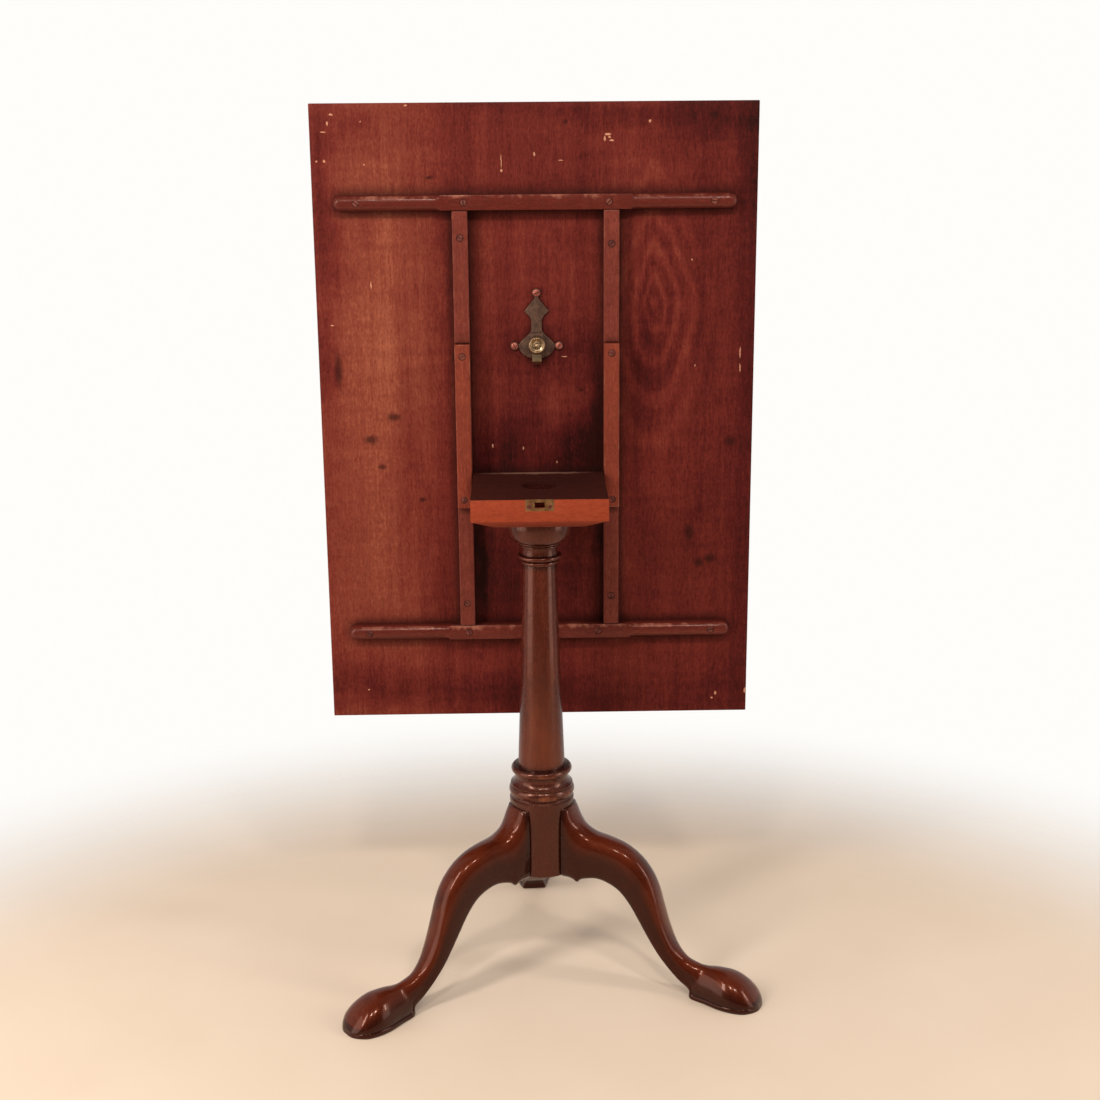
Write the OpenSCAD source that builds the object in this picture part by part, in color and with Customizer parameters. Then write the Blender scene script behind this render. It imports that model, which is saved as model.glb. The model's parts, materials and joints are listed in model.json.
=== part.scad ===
// Tilt top table: a rectangular mahogany top that hinges on the rear edge of a pivot
// block, on a turned column with three cabriole legs.
// Millimetres, +Z up, floor at z = 0, column axis at x = 0. The top is modelled tipped
// up, standing behind the column, with its underside facing -Y.

/* [Table top] */
// Width of the top, along X
top_width = 590; // [560:5:640]
// Length of the top, which stands up when it is tipped
top_length = 846; // [820:2:880]
// Thickness of the top board
top_thickness = 16; // [16:1:20]

/* [Battens and bearers] */
// Length of each cross batten
batten_length = 533; // [500:1:540]
// Width of each cross batten
batten_width = 20; // [18:0.5:22]
// Depth of the cross battens and the plain bearers
batten_depth = 18; // [17:0.5:20]
// Distance between the two cross battens' centre lines
batten_spacing = 591; // [580:1:620]
// Width of each bearer
bearer_width = 20.5; // [20:0.5:24]
// Depth of the two bearers that hold the pivots
pivot_bearer_depth = 28; // [26:0.5:32]
// How far the pivot bearers run above the pivot line
pivot_bearer_above = 192; // [180:1:200]
// How far the pivot bearers run below the pivot line
pivot_bearer_below = 32.5; // [30:0.5:40]

/* [Pivot block] */
// Width of the block, along X
block_width = 177; // [170:1:185]
// Distance from the block's front face to the pivot line
block_reach = 167.5; // [166:0.5:170]
// Thickness of the block
block_thickness = 38; // [36:1:42]
// Height of the block's flat top above the floor
block_top = 695; // [680:1:710]
// Depth of the pivot line below the block's top
pivot_drop = 14.5; // [14:0.5:16]
// Radius of the round pintles that the block turns the top on
pintle_radius = 9; // [8:0.5:9.5]
// Distance from the column's axis back to the pivot line
pivot_back = 82; // [78:1:86]

/* [Column] */
// Radius of the column where the legs meet it
column_radius = 44.3; // [44:0.1:45]
// Radius of the shaft just under its top ring
shaft_top_radius = 23.2; // [22:0.1:25]
// Radius of the shaft just above its base ring
shaft_foot_radius = 32.2; // [30:0.1:34]
// Height of the column's lower end
column_bottom = 149.5; // [148:0.5:150]
// Radius of the tenon that passes up through the block
tenon_radius = 24; // [20:0.5:26]

/* [Legs] */
// How far the three legs are turned about the column from a square stance
base_turn = 4.5; // [0:0.5:8]
// Distance from the column's axis to the tip of each toe
toe_reach = 323.5; // [320:0.5:326]

/* [Latch] */
// How far the bolt slides to let the top go
bolt_travel = 6; // [6:0.25:6.5]
// Height of the bolt's tip above the pivot line
bolt_tip_height = 162; // [161:0.5:163]
// Width of the bolt
bolt_width = 12; // [11:0.5:12]
// Thickness of the bolt
bolt_thickness = 6; // [5.5:0.25:6]
// Radius of the knob
knob_radius = 11.5; // [11:0.5:12]

/* [Hidden] */
smooth = 64;
cut = 1;                     // how far a cutting shape runs past the face it cuts
glue_gap = 0.05;             // gap round a glued or screwed joint
play = 0.5;                  // gap beside a piece that slides or swings

top_red = [0.36, 0.10, 0.07];
bearer_red = [0.42, 0.15, 0.11];
pivot_red = [0.52, 0.22, 0.14];
block_orange = [0.60, 0.25, 0.13];
column_brown = [0.25, 0.08, 0.05];
bronze = [0.25, 0.19, 0.15];
brass_gold = [0.62, 0.48, 0.25];
steel_dark = [0.28, 0.22, 0.20];
spring_steel = [0.60, 0.60, 0.62];

// Places. The column stands in front of the middle of the whole table's outline.
column_y = -59.6;
pivot_y = column_y + pivot_back;
pivot_z = block_top - pivot_drop;
seat_gap = 0.3;                                  // between the block's top and the closed top
underside = pivot_drop + seat_gap;               // pivot line to the board's underside
board_middle = pivot_back;                       // board's centre above the pivot line
bearer_x = block_width / 2 + 1.5 + bearer_width / 2;
batten_up = board_middle + batten_spacing / 2;
batten_down = board_middle - batten_spacing / 2;

// Wood screws
head_radius = 4.5;
head_depth = 2.6;
shank_radius = 2.1;
slot_width = 1.2;
slot_depth = 1;
board_bite = 11;             // how far a screw runs into the board
plain_screw = batten_depth + board_bite;
pivot_screw = pivot_bearer_depth + board_bite;

// Screw places on the top's underside: across, and up from the pivot line
upper_batten_screws = [for (x = [-236, -95, 97, 236]) [x, batten_up]];
lower_batten_screws = [for (x = [-238, -99, 82, 240]) [x, batten_down]];
upper_bearer_screws = [[-bearer_x, 332], [bearer_x, 323]];
lower_bearer_screws = [[-bearer_x, -171], [bearer_x, -162]];
left_pivot_screws = [[-bearer_x, 176], [-bearer_x - 1, -20.5]];
right_pivot_screws = [[bearer_x, 179], [bearer_x + 1, -21.5]];

// Latch places, in heights above the pivot line
knob_height = 189;
latch_plate_thickness = 2.5;
bolt_lift = 4.75;                                // board to the back of the bolt
bolt_end = knob_height + 4.4;
case_low = 176.5;
case_wall = 1.8;
case_half = bolt_width / 2 + 0.2 + 2.2;
spring_room = 9;
case_high = bolt_end + spring_room + 2;
case_top = bolt_lift + bolt_thickness + 0.15 + case_wall;
stem_radius = 3;
latch_lobes = [[0, 257.5], [-30, 186.5], [30, 186.5]];
latch_lobe_radius = 5.6;
latch_screw_radius = 5;
latch_screw_length = 13;

// Strike, measured down from the block's top
strike_width = 36.5;
strike_height = 15;
strike_thickness = 2;
strike_hole = [bolt_width + 0.8, bolt_thickness + 1.5];
strike_hole_drop = bolt_lift + bolt_thickness / 2 - seat_gap;
mortise_depth = 12;
strike_screw_x = 13.5;
strike_screw_drop = 9.4;
strike_screw_length = 14;

// ---- helpers ----

// Places children on the board's underside: x across, y up, z out from the wood.
module on_underside() {
    translate([0, pivot_y + underside, pivot_z])
        rotate([90, 0, 0])
            children();
}

// Places children on the block's front face: x across, y up from its top, z out.
module on_block_front() {
    translate([0, pivot_y - block_reach, block_top])
        rotate([90, 0, 0])
            children();
}

// Countersunk screw, its head flush with z = 0 and its point down.
module wood_screw(length, turn) {
    rotate([0, 0, turn])
        difference() {
            rotate_extrude($fn = smooth)
                polygon([
                    [0, 0],
                    [head_radius, 0],
                    [shank_radius, -head_depth],
                    [shank_radius, -length + 4],
                    [0, -length]
                ]);
            translate([-head_radius - cut, -slot_width / 2, -slot_depth])
                cube([2 * (head_radius + cut), slot_width, slot_depth + cut]);
        }
}

// The hole a countersunk screw sits in.
module wood_screw_hole(length) {
    rotate_extrude($fn = smooth)
        polygon([
            [0, cut],
            [head_radius + glue_gap, cut],
            [head_radius + glue_gap, 0],
            [shank_radius + glue_gap, -head_depth],
            [shank_radius + glue_gap, -length - glue_gap],
            [0, -length - glue_gap]
        ]);
}

// Screws of one length at a list of places, standing out of the board by a depth.
module screws_at(places, depth, length) {
    for (i = [0 : len(places) - 1])
        translate([places[i][0], places[i][1], depth])
            wood_screw(length, 37 * i + 20);
}

module screw_holes_at(places, depth, length) {
    for (p = places)
        translate([p[0], p[1], depth])
            wood_screw_hole(length);
}

// ---- column, block and legs ----

// Points along an arc in the column's outline, from one angle to another.
function arc(centre, r, from, to, steps) = [
    for (i = [0 : steps])
        let (a = from + (to - from) * i / steps)
        centre + r * [cos(a), sin(a)]
];

// Points along a quarter ellipse that bulges out, from its top to its foot.
function bowl(r_top, r_foot, z_top, z_foot, steps) = [
    for (i = [0 : steps])
        let (a = 90 * i / steps)
        [r_foot + (r_top - r_foot) * cos(a), z_top - (z_top - z_foot) * sin(a)]
];

block_bottom = block_top - block_thickness;
bowl_foot = 622;
neck_top = 613;
neck_foot = 602.5;
shaft_top = 588.5;
shaft_foot = 301.5;

// The shaft swells gently as it goes down.
function shaft(steps) = [
    for (i = [0 : steps])
        let (t = i / steps)
        [
            shaft_top_radius + (shaft_foot_radius - shaft_top_radius) * (0.75 * t + 0.25 * t * t),
            shaft_top + (shaft_foot - shaft_top) * t
        ]
];

column_outline = concat(
    [[0, block_bottom - glue_gap], [44.5, block_bottom - glue_gap]],
    bowl(44.5, 34.5, 648, bowl_foot, 8),
    [[30, bowl_foot - 1]],
    arc([28, 618.6], 1.6, 80, -80, 4),
    arc([26.4, 615], 1.3, 70, -80, 4),
    [[24.7, neck_top], [24.9, neck_foot]],
    arc([27, 599.4], 3, 80, -80, 6),
    arc([23.6, 592], 2.8, 70, -70, 6),
    shaft(10),
    [[39.6, shaft_foot]],
    arc([36.6, 296.4], 5.2, 60, -70, 6),
    [[37.8, 290], [36.9, 285], [38.6, 280.5], [42.8, 275.8], [42.8, 274]],
    arc([35.9, 266.6], 9.2, 52, -48, 8),
    [[42.2, 257.5], [column_radius, 255.5], [column_radius, column_bottom], [0, column_bottom]]
);

tenon_top = block_top - 4;
kerf_depth = 26;
kerf_top = 3.2;
kerf_foot = 1;

// Wedge outline in the Y-Z plane: wide at the tenon's end grain, thin below.
module wedge_shape(gap) {
    translate([0, 0, tenon_top])
        rotate([90, 0, 90])
            linear_extrude(height = 2 * tenon_radius + 2 * cut, center = true)
                polygon([
                    [-kerf_top / 2 - gap, cut],
                    [kerf_top / 2 + gap, cut],
                    [kerf_top / 2 + gap, 0],
                    [kerf_foot / 2 + gap, -kerf_depth - gap],
                    [-kerf_foot / 2 - gap, -kerf_depth - gap],
                    [-kerf_top / 2 - gap, 0]
                ]);
}

dovetail_top = 232;
dovetail_root = 27;

// Plan of a leg's dovetail: wide inside the column, narrow at its surface.
module dovetail(gap, low, high) {
    translate([0, 0, low])
        linear_extrude(height = high - low)
            polygon([
                [dovetail_root - gap, -11 - gap],
                [dovetail_root - gap, 11 + gap],
                [column_radius + 1, 7.5 + gap],
                [column_radius + 1, -7.5 - gap]
            ]);
}

// The left, right and rear leg, each a little out of its even third of a turn.
leg_set = [1.2, 0, -1.8];
leg_angles = [
    210 + base_turn + leg_set[0],
    330 + base_turn + leg_set[1],
    90 + base_turn + leg_set[2]
];

module column() {
    color(column_brown)
        translate([0, column_y, 0])
            difference() {
                union() {
                    rotate_extrude($fn = smooth)
                        polygon(column_outline);
                    translate([0, 0, block_bottom - cut])
                        cylinder(r = tenon_radius, h = tenon_top - block_bottom + cut, $fn = smooth);
                }
                wedge_shape(glue_gap);
                for (a = leg_angles)
                    rotate([0, 0, a])
                        dovetail(0.1, column_bottom - cut, dovetail_top + 0.1);
            }
}

module tenon_wedge() {
    color(pivot_red)
        translate([0, column_y, 0])
            intersection() {
                wedge_shape(0);
                translate([0, 0, block_bottom])
                    cylinder(r = tenon_radius, h = tenon_top - block_bottom, $fn = smooth);
            }
}

front_chamfer = 9;
end_bevel = 31;

// Side outline of the block: a flat top, a round rear edge about the pivot line.
module block_side() {
    difference() {
        union() {
            polygon([
                [-block_reach, pivot_drop],
                [0, pivot_drop],
                [0, pivot_drop - block_thickness],
                [-block_reach + front_chamfer, pivot_drop - block_thickness],
                [-block_reach, pivot_drop - block_thickness + front_chamfer]
            ]);
            circle(r = pivot_drop, $fn = smooth);
            translate([0, pivot_drop - block_thickness])
                square([pivot_drop, block_thickness - pivot_drop]);
        }
    }
}

// Front outline of the block: its two ends are bevelled underneath.
module block_front() {
    polygon([
        [-block_width / 2, pivot_drop + cut],
        [block_width / 2, pivot_drop + cut],
        [block_width / 2, pivot_drop - block_thickness + front_chamfer],
        [block_width / 2 - end_bevel, pivot_drop - block_thickness],
        [-block_width / 2 + end_bevel, pivot_drop - block_thickness],
        [-block_width / 2, pivot_drop - block_thickness + front_chamfer]
    ]);
}

module pivot_block() {
    pintle_length = block_width + 2 * (bearer_width + 1.5) - 3;
    color(block_orange)
        difference() {
            union() {
                intersection() {
                    translate([0, pivot_y, pivot_z])
                        rotate([90, 0, 90])
                            linear_extrude(height = block_width, center = true)
                                block_side();
                    translate([0, pivot_y + pivot_drop + cut, pivot_z])
                        rotate([90, 0, 0])
                            linear_extrude(height = block_reach + pivot_drop + 2 * cut)
                                block_front();
                }
                translate([-pintle_length / 2, pivot_y, pivot_z])
                    rotate([0, 90, 0])
                        cylinder(r = pintle_radius, h = pintle_length, $fn = smooth);
            }
            translate([0, column_y, block_bottom - cut])
                cylinder(r = tenon_radius + glue_gap, h = block_thickness + 2 * cut, $fn = smooth);
            on_block_front() {
                translate([-strike_width / 2 - glue_gap, -strike_height, -strike_thickness])
                    cube([strike_width + 2 * glue_gap, strike_height + cut, strike_thickness + cut]);
                translate([0, -strike_hole_drop, -mortise_depth / 2])
                    cube([strike_hole[0] + 1, strike_hole[1] + 1, mortise_depth], center = true);
                for (side = [-1, 1])
                    translate([side * strike_screw_x, -strike_screw_drop, 0])
                        cylinder(
                            r = 1.2 + glue_gap,
                            h = 2 * (strike_screw_length + glue_gap),
                            center = true,
                            $fn = smooth
                        );
            }
        }
}

// Each station of a leg: the top line's reach and height, the bottom line's reach and
// height, half the width there, and how far the section has turned into a foot.
leg_stations = [
    [34, 275, 30, 148.3, 25.5, 0],
    [41, 261, 42, 148.3, 25.5, 0],
    [46.5, 247, 50, 147.9, 25.4, 0],
    [53, 232.5, 56.5, 146, 24.8, 0],
    [62, 221, 62, 142.8, 24, 0],
    [78, 212.2, 69, 148.2, 22.8, 0],
    [99.5, 208, 89, 152.3, 21.4, 0],
    [122.5, 201.5, 107.3, 148.4, 20.7, 0],
    [143.5, 189, 123.5, 139.3, 20.2, 0],
    [161, 170.3, 138.6, 122.3, 20, 0.05],
    [172.3, 148, 152.6, 100.2, 19.9, 0.1],
    [180.5, 120.6, 166.2, 77.8, 19.5, 0.2],
    [189.2, 92.2, 180, 57.2, 18.8, 0.3],
    [200.2, 68.2, 195, 37.9, 16.6, 0.4],
    [215, 52.5, 209.9, 22.1, 14.6, 0.6],
    [232.3, 46, 224.8, 11.2, 15.2, 0.8],
    [245.5, 44.6, 227.5, 0, 17.8, 1],
    [261.7, 45.6, 250.4, 0, 24.6, 1],
    [280.3, 43.5, 272, 0, 31.2, 1],
    [295.8, 36.4, 291, 0, 32.8, 1],
    [308.3, 25.8, 307, 0, 29.6, 1],
    [317.6, 13.6, 317, 0, 20.8, 1],
    [toe_reach - 2, 6.4, toe_reach - 1.7, 0, 12.6, 1]
];
toe_tip = [toe_reach, 0, 2];

// Half of a leg's section, from the middle of its underside to the middle of its top:
// share of the half width, and share of the height. The first is for the leg, the
// second for the foot, which has a flat sole and a low domed back.
leg_half = [[0, 0], [0.8, 0], [0.96, 0.03], [1, 0.12], [1, 0.55], [0.96, 0.76], [0.84, 0.9], [0.52, 0.98], [0, 1]];
foot_half = [[0, 0], [0.9, 0], [0.97, 0.02], [1, 0.1], [0.985, 0.3], [0.88, 0.6], [0.68, 0.81], [0.38, 0.95], [0, 1]];

// A smooth curve through four neighbouring values, at t between the middle two.
function blend4(a, b, c, d, t) =
    0.5 * (2 * b + (c - a) * t + (2 * a - 5 * b + 4 * c - d) * t * t
        + (3 * b - a - 3 * c + d) * t * t * t);

// A value never let below the sole.
function above_floor(z) = max(z, 0);

function station_at(k, t) =
    let (last = len(leg_stations) - 1)
    blend4(
        leg_stations[max(k - 1, 0)],
        leg_stations[k],
        leg_stations[min(k + 1, last)],
        leg_stations[min(k + 2, last)],
        t
    );

rings_per_station = 2;

leg_rings = concat(
    [
        for (k = [0 : len(leg_stations) - 2], j = [0 : rings_per_station - 1])
            station_at(k, j / rings_per_station)
    ],
    [leg_stations[len(leg_stations) - 1]]
);

// One ring of the leg's surface: the right half going up, the left half coming down.
function ring_point(s, h, side) = [
    s[2] + (s[0] - s[2]) * h[1],
    side * s[4] * h[0],
    above_floor(s[3] + (s[1] - s[3]) * h[1])
];

function leg_ring(s) =
    let (
        half = [for (i = [0 : len(leg_half) - 1]) leg_half[i] * (1 - s[5]) + foot_half[i] * s[5]],
        n = len(half)
    )
    concat(
        [for (i = [0 : n - 1]) ring_point(s, half[i], 1)],
        [for (i = [n - 2 : -1 : 1]) ring_point(s, half[i], -1)]
    );

// The leg as one swept solid, reaching along +X.
module leg_sweep() {
    rings = [for (s = leg_rings) leg_ring(s)];
    n = len(rings[0]);
    count = len(rings);
    points = concat([for (r = rings) each r], [toe_tip]);
    sides = [
        for (k = [0 : count - 2], i = [0 : n - 1])
            let (a = k * n + i, b = k * n + (i + 1) % n)
            each [[a, a + n, b + n], [a, b + n, b]]
    ];
    tip = [
        for (i = [0 : n - 1])
            [(count - 1) * n + i, count * n, (count - 1) * n + (i + 1) % n]
    ];
    root = [[for (i = [0 : n - 1]) i]];
    polyhedron(points = points, faces = concat(sides, tip, root), convexity = 6);
}

leg_shoulder = 247.6;

module leg(angle) {
    color(column_brown)
        translate([0, column_y, 0])
            rotate([0, 0, angle])
                union() {
                    difference() {
                        leg_sweep();
                        translate([0, 0, leg_shoulder])
                            cylinder(r = 2 * column_radius, h = 100, $fn = smooth);
                        cylinder(r = column_radius + glue_gap, h = 400, $fn = smooth);
                    }
                    dovetail(0, column_bottom, dovetail_top);
                }
}

module left_leg() {
    leg(leg_angles[0]);
}

module right_leg() {
    leg(leg_angles[1]);
}

module rear_leg() {
    leg(leg_angles[2]);
}

// ---- strike ----

module strike_plate() {
    color(brass_gold)
        on_block_front()
            difference() {
                translate([-strike_width / 2, -strike_height + glue_gap, -strike_thickness + glue_gap])
                    cube([strike_width, strike_height - glue_gap, strike_thickness - glue_gap]);
                translate([0, -strike_hole_drop, 0])
                    cube([strike_hole[0], strike_hole[1], 4 * strike_thickness], center = true);
                for (side = [-1, 1])
                    translate([side * strike_screw_x, -strike_screw_drop, 0])
                        strike_screw(glue_gap, false);
            }
}

// Small countersunk screw, or the hole for it when it has no slot.
module strike_screw(gap, slotted) {
    difference() {
        rotate_extrude($fn = smooth)
            polygon([
                [0, gap],
                [2.8 + gap, gap],
                [2.8 + gap, -0.2],
                [1.2 + gap, -1.7],
                [1.2 + gap, -strike_screw_length + 2],
                [0, -strike_screw_length - gap]
            ]);
        if (slotted)
            translate([0, 0, 0])
                cube([8, 0.7, 1], center = true);
    }
}

module strike_screws() {
    color(steel_dark)
        on_block_front()
            for (side = [-1, 1])
                translate([side * strike_screw_x, -strike_screw_drop, 0])
                    rotate([0, 0, side * 35])
                        strike_screw(0, true);
}

// ---- top ----

module top_board() {
    color(top_red)
        on_underside()
            difference() {
                translate([-top_width / 2, board_middle - top_length / 2, -top_thickness])
                    cube([top_width, top_length, top_thickness]);
                screw_holes_at(concat(upper_batten_screws, lower_batten_screws), batten_depth, plain_screw);
                screw_holes_at(concat(upper_bearer_screws, lower_bearer_screws), batten_depth, plain_screw);
                screw_holes_at(concat(left_pivot_screws, right_pivot_screws), pivot_bearer_depth, pivot_screw);
                for (p = latch_lobes)
                    translate([p[0], p[1], latch_plate_thickness])
                        round_screw_hole();
            }
}

batten_end = batten_width / 2;
batten_square_half = 126;    // half the stretch whose arrises are left square
batten_ease = 5;             // how far the arrises are cut back beyond it

// Plan of a cross batten: straight, with round ends.
module batten_plan() {
    square([batten_length - 2 * batten_end, batten_width], center = true);
    for (side = [-1, 1])
        translate([side * (batten_length / 2 - batten_end), 0])
            circle(r = batten_end, $fn = smooth);
}

// Section of a cross batten beyond the stops, with its arrises cut back.
module eased_section() {
    polygon([
        [-batten_width / 2, 0],
        [batten_width / 2, 0],
        [batten_width / 2, batten_depth - batten_ease],
        [batten_width / 2 - batten_ease, batten_depth],
        [-batten_width / 2 + batten_ease, batten_depth],
        [-batten_width / 2, batten_depth - batten_ease]
    ]);
}

module cross_batten(height, places) {
    color(bearer_red)
        on_underside()
            difference() {
                translate([0, height, 0])
                    intersection() {
                        translate([0, 0, glue_gap])
                            linear_extrude(height = batten_depth - glue_gap)
                                batten_plan();
                        union() {
                            rotate([90, 0, 90])
                                linear_extrude(height = batten_length, center = true)
                                    eased_section();
                            translate([-batten_square_half, -batten_width / 2, 0])
                                cube([2 * batten_square_half, batten_width, batten_depth]);
                        }
                    }
                screw_holes_at(places, batten_depth, plain_screw);
            }
}

module upper_cross_batten() {
    cross_batten(batten_up, upper_batten_screws);
}

module lower_cross_batten() {
    cross_batten(batten_down, lower_batten_screws);
}

joint_gap = 0.5;             // between the ends of neighbouring bearers and battens

// A plain bearer between two heights above the pivot line.
module plain_bearer(side, low, high, places) {
    color(bearer_red)
        on_underside()
            difference() {
                translate([side * bearer_x - bearer_width / 2, low + joint_gap, glue_gap])
                    cube([bearer_width, high - low - 2 * joint_gap, batten_depth - glue_gap]);
                screw_holes_at(places, batten_depth, plain_screw);
            }
}

module left_upper_bearer() {
    plain_bearer(-1, pivot_bearer_above, batten_up - batten_width / 2, [upper_bearer_screws[0]]);
}

module right_upper_bearer() {
    plain_bearer(1, pivot_bearer_above, batten_up - batten_width / 2, [upper_bearer_screws[1]]);
}

module left_lower_bearer() {
    plain_bearer(-1, batten_down + batten_width / 2, -pivot_bearer_below, [lower_bearer_screws[0]]);
}

module right_lower_bearer() {
    plain_bearer(1, batten_down + batten_width / 2, -pivot_bearer_below, [lower_bearer_screws[1]]);
}

pintle_clearance = 0.06;
bearer_chamfer = 1.5;

// A pivot bearer, bored through for the block's pintle.
module pivot_bearer(side, places) {
    color(pivot_red)
        on_underside()
            difference() {
                translate([side * bearer_x - bearer_width / 2, -pivot_bearer_below, glue_gap])
                    rotate([90, 0, 90])
                        linear_extrude(height = bearer_width)
                            polygon([
                                [0, 0],
                                [pivot_bearer_above + pivot_bearer_below, 0],
                                [
                                    pivot_bearer_above + pivot_bearer_below,
                                    pivot_bearer_depth - glue_gap - bearer_chamfer
                                ],
                                [
                                    pivot_bearer_above + pivot_bearer_below - bearer_chamfer,
                                    pivot_bearer_depth - glue_gap
                                ],
                                [bearer_chamfer, pivot_bearer_depth - glue_gap],
                                [0, pivot_bearer_depth - glue_gap - bearer_chamfer]
                            ]);
                translate([side * bearer_x, 0, underside])
                    rotate([0, 90, 0])
                        cylinder(
                            r = pintle_radius + pintle_clearance,
                            h = bearer_width + 2 * cut,
                            center = true,
                            $fn = smooth
                        );
                screw_holes_at(places, pivot_bearer_depth, pivot_screw);
            }
}

module left_pivot_bearer() {
    pivot_bearer(-1, left_pivot_screws);
}

module right_pivot_bearer() {
    pivot_bearer(1, right_pivot_screws);
}

module cross_batten_screws() {
    color(steel_dark)
        on_underside()
            screws_at(concat(upper_batten_screws, lower_batten_screws), batten_depth, plain_screw);
}

module plain_bearer_screws() {
    color(steel_dark)
        on_underside()
            screws_at(concat(upper_bearer_screws, lower_bearer_screws), batten_depth, plain_screw);
}

module pivot_bearer_screws() {
    color(steel_dark)
        on_underside()
            screws_at(concat(left_pivot_screws, right_pivot_screws), pivot_bearer_depth, pivot_screw);
}

// ---- latch ----

// Half of the latch plate's lower lobe and the flare up to its waist.
lobe_half_width = 24;
lobe_height = knob_height - 2.5;
lobe_drop = 17.5;
waist_half = 6.8;
waist_low = 209;
waist_high = 221;

latch_half = concat(
    [for (a = [-90 : 15 : 0]) [lobe_half_width * cos(a), lobe_height + lobe_drop * sin(a)]],
    [
        for (i = [1 : 6])
            let (t = i / 6)
            [
                waist_half + (lobe_half_width - waist_half) * (1 + cos(180 * t)) / 2,
                lobe_height + (waist_low - lobe_height) * t
            ]
    ],
    [[waist_half, waist_high], [9.5, 226.5], [16.5, 233], [2.5, 250]]
);

module latch_outline() {
    polygon(concat(latch_half, [for (i = [len(latch_half) - 1 : -1 : 1]) [-latch_half[i][0], latch_half[i][1]]]));
    for (p = latch_lobes)
        translate(p)
            circle(r = latch_lobe_radius, $fn = smooth);
    square_neck = 5;
    translate([-square_neck / 2, 248])
        square([square_neck, latch_lobes[0][1] - 248]);
    translate([-latch_lobes[2][0], lobe_height - square_neck / 2])
        square([2 * latch_lobes[2][0], square_neck]);
}

module latch_plate() {
    color(bronze)
        on_underside()
            difference() {
                translate([0, 0, glue_gap])
                    linear_extrude(height = latch_plate_thickness - glue_gap)
                        latch_outline();
                for (p = latch_lobes)
                    translate([p[0], p[1], latch_plate_thickness])
                        round_screw_hole();
            }
}

// Round headed screw: a low dome on the plate, and a thin shank into the board.
module round_screw(turn) {
    dome = 2.2;
    rotate([0, 0, turn])
        difference() {
            union() {
                rotate_extrude($fn = smooth)
                    polygon(concat(
                        [[0, 0.05]],
                        [for (a = [0 : 15 : 90]) [latch_screw_radius * cos(a), 0.05 + dome * sin(a)]]
                    ));
                translate([0, 0, -latch_screw_length])
                    cylinder(r = 1.7, h = latch_screw_length + 1, $fn = smooth);
            }
            translate([-latch_screw_radius - cut, -0.5, dome - 0.9])
                cube([2 * (latch_screw_radius + cut), 1, 2]);
        }
}

module round_screw_hole() {
    translate([0, 0, -latch_screw_length - glue_gap])
        cylinder(r = 1.7 + glue_gap, h = latch_screw_length + cut, $fn = smooth);
}

module latch_screws() {
    color(steel_dark)
        on_underside()
            for (i = [0 : len(latch_lobes) - 1])
                translate([latch_lobes[i][0], latch_lobes[i][1], latch_plate_thickness])
                    round_screw(60 + 50 * i);
}

// The case is a low box with a channel for the bolt and a slot for the knob's stem.
module latch_case() {
    floor_z = latch_plate_thickness + glue_gap;
    channel_half = bolt_width / 2 + 0.2;
    stem_slot_half = stem_radius + 0.3;
    color(bronze)
        on_underside()
            difference() {
                translate([-case_half, case_low, floor_z])
                    cube([2 * case_half, case_high - case_low, case_top - floor_z]);
                translate([-channel_half, case_low - cut, bolt_lift - 0.15])
                    cube([2 * channel_half, case_high - 2 - case_low + cut, bolt_thickness + 0.3]);
                translate([0, knob_height, bolt_lift])
                    cylinder(r = stem_slot_half, h = 20, $fn = smooth);
                translate([0, knob_height + bolt_travel, bolt_lift])
                    cylinder(r = stem_slot_half, h = 20, $fn = smooth);
                translate([-stem_slot_half, knob_height, bolt_lift])
                    cube([2 * stem_slot_half, bolt_travel, 20]);
            }
}

// The bolt is a flat bar whose tip is bevelled on the side that meets the block.
module latch_bolt() {
    color(brass_gold)
        on_underside()
            difference() {
                translate([-bolt_width / 2, 0, 0])
                    rotate([90, 0, 90])
                        linear_extrude(height = bolt_width)
                            polygon([
                                [bolt_tip_height, bolt_lift],
                                [bolt_end, bolt_lift],
                                [bolt_end, bolt_lift + bolt_thickness],
                                [bolt_tip_height + 4.5, bolt_lift + bolt_thickness],
                                [bolt_tip_height, bolt_lift + 2]
                            ]);
                translate([0, knob_height, bolt_lift + 1])
                    cylinder(r = stem_radius + glue_gap, h = 20, $fn = smooth);
            }
}

knob_back = case_top + 0.4;
knob_front = knob_back + 6;
knob_profile = [
    [0, bolt_lift + 1 + glue_gap],
    [stem_radius, bolt_lift + 1 + glue_gap],
    [stem_radius, knob_back],
    [knob_radius - 1.5, knob_back],
    [knob_radius, knob_back + 1.8],
    [knob_radius, knob_front - 2],
    [knob_radius - 1, knob_front - 0.4],
    [knob_radius - 2.4, knob_front],
    [knob_radius - 4, knob_front - 0.6],
    [knob_radius - 5.2, knob_front - 2.6],
    [5, knob_front - 2.6],
    [4.6, knob_front - 1],
    [3.4, knob_front + 0.4],
    [1.8, knob_front + 1.1],
    [0, knob_front + 1.3]
];

module latch_knob() {
    color(brass_gold)
        on_underside()
            translate([0, knob_height, 0])
                rotate_extrude($fn = smooth)
                    polygon(knob_profile);
}

spring_turns = 4.5;
spring_wire = 0.25;
spring_radius = 2.2;
spring_sides = 6;
spring_steps = 16;

// A point on the spring's wire: along its helix by t, round the wire by side i.
function spring_point(t, i) =
    let (
        a = 360 * spring_turns * t,
        b = 360 * i / spring_sides,
        r = spring_radius + spring_wire * cos(b),
        pitch_room = spring_room - 4 * spring_wire - 0.2
    )
    [r * cos(a), pitch_room * t + 2 * spring_wire + 0.1 + spring_wire * sin(b), r * sin(a)];

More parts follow.
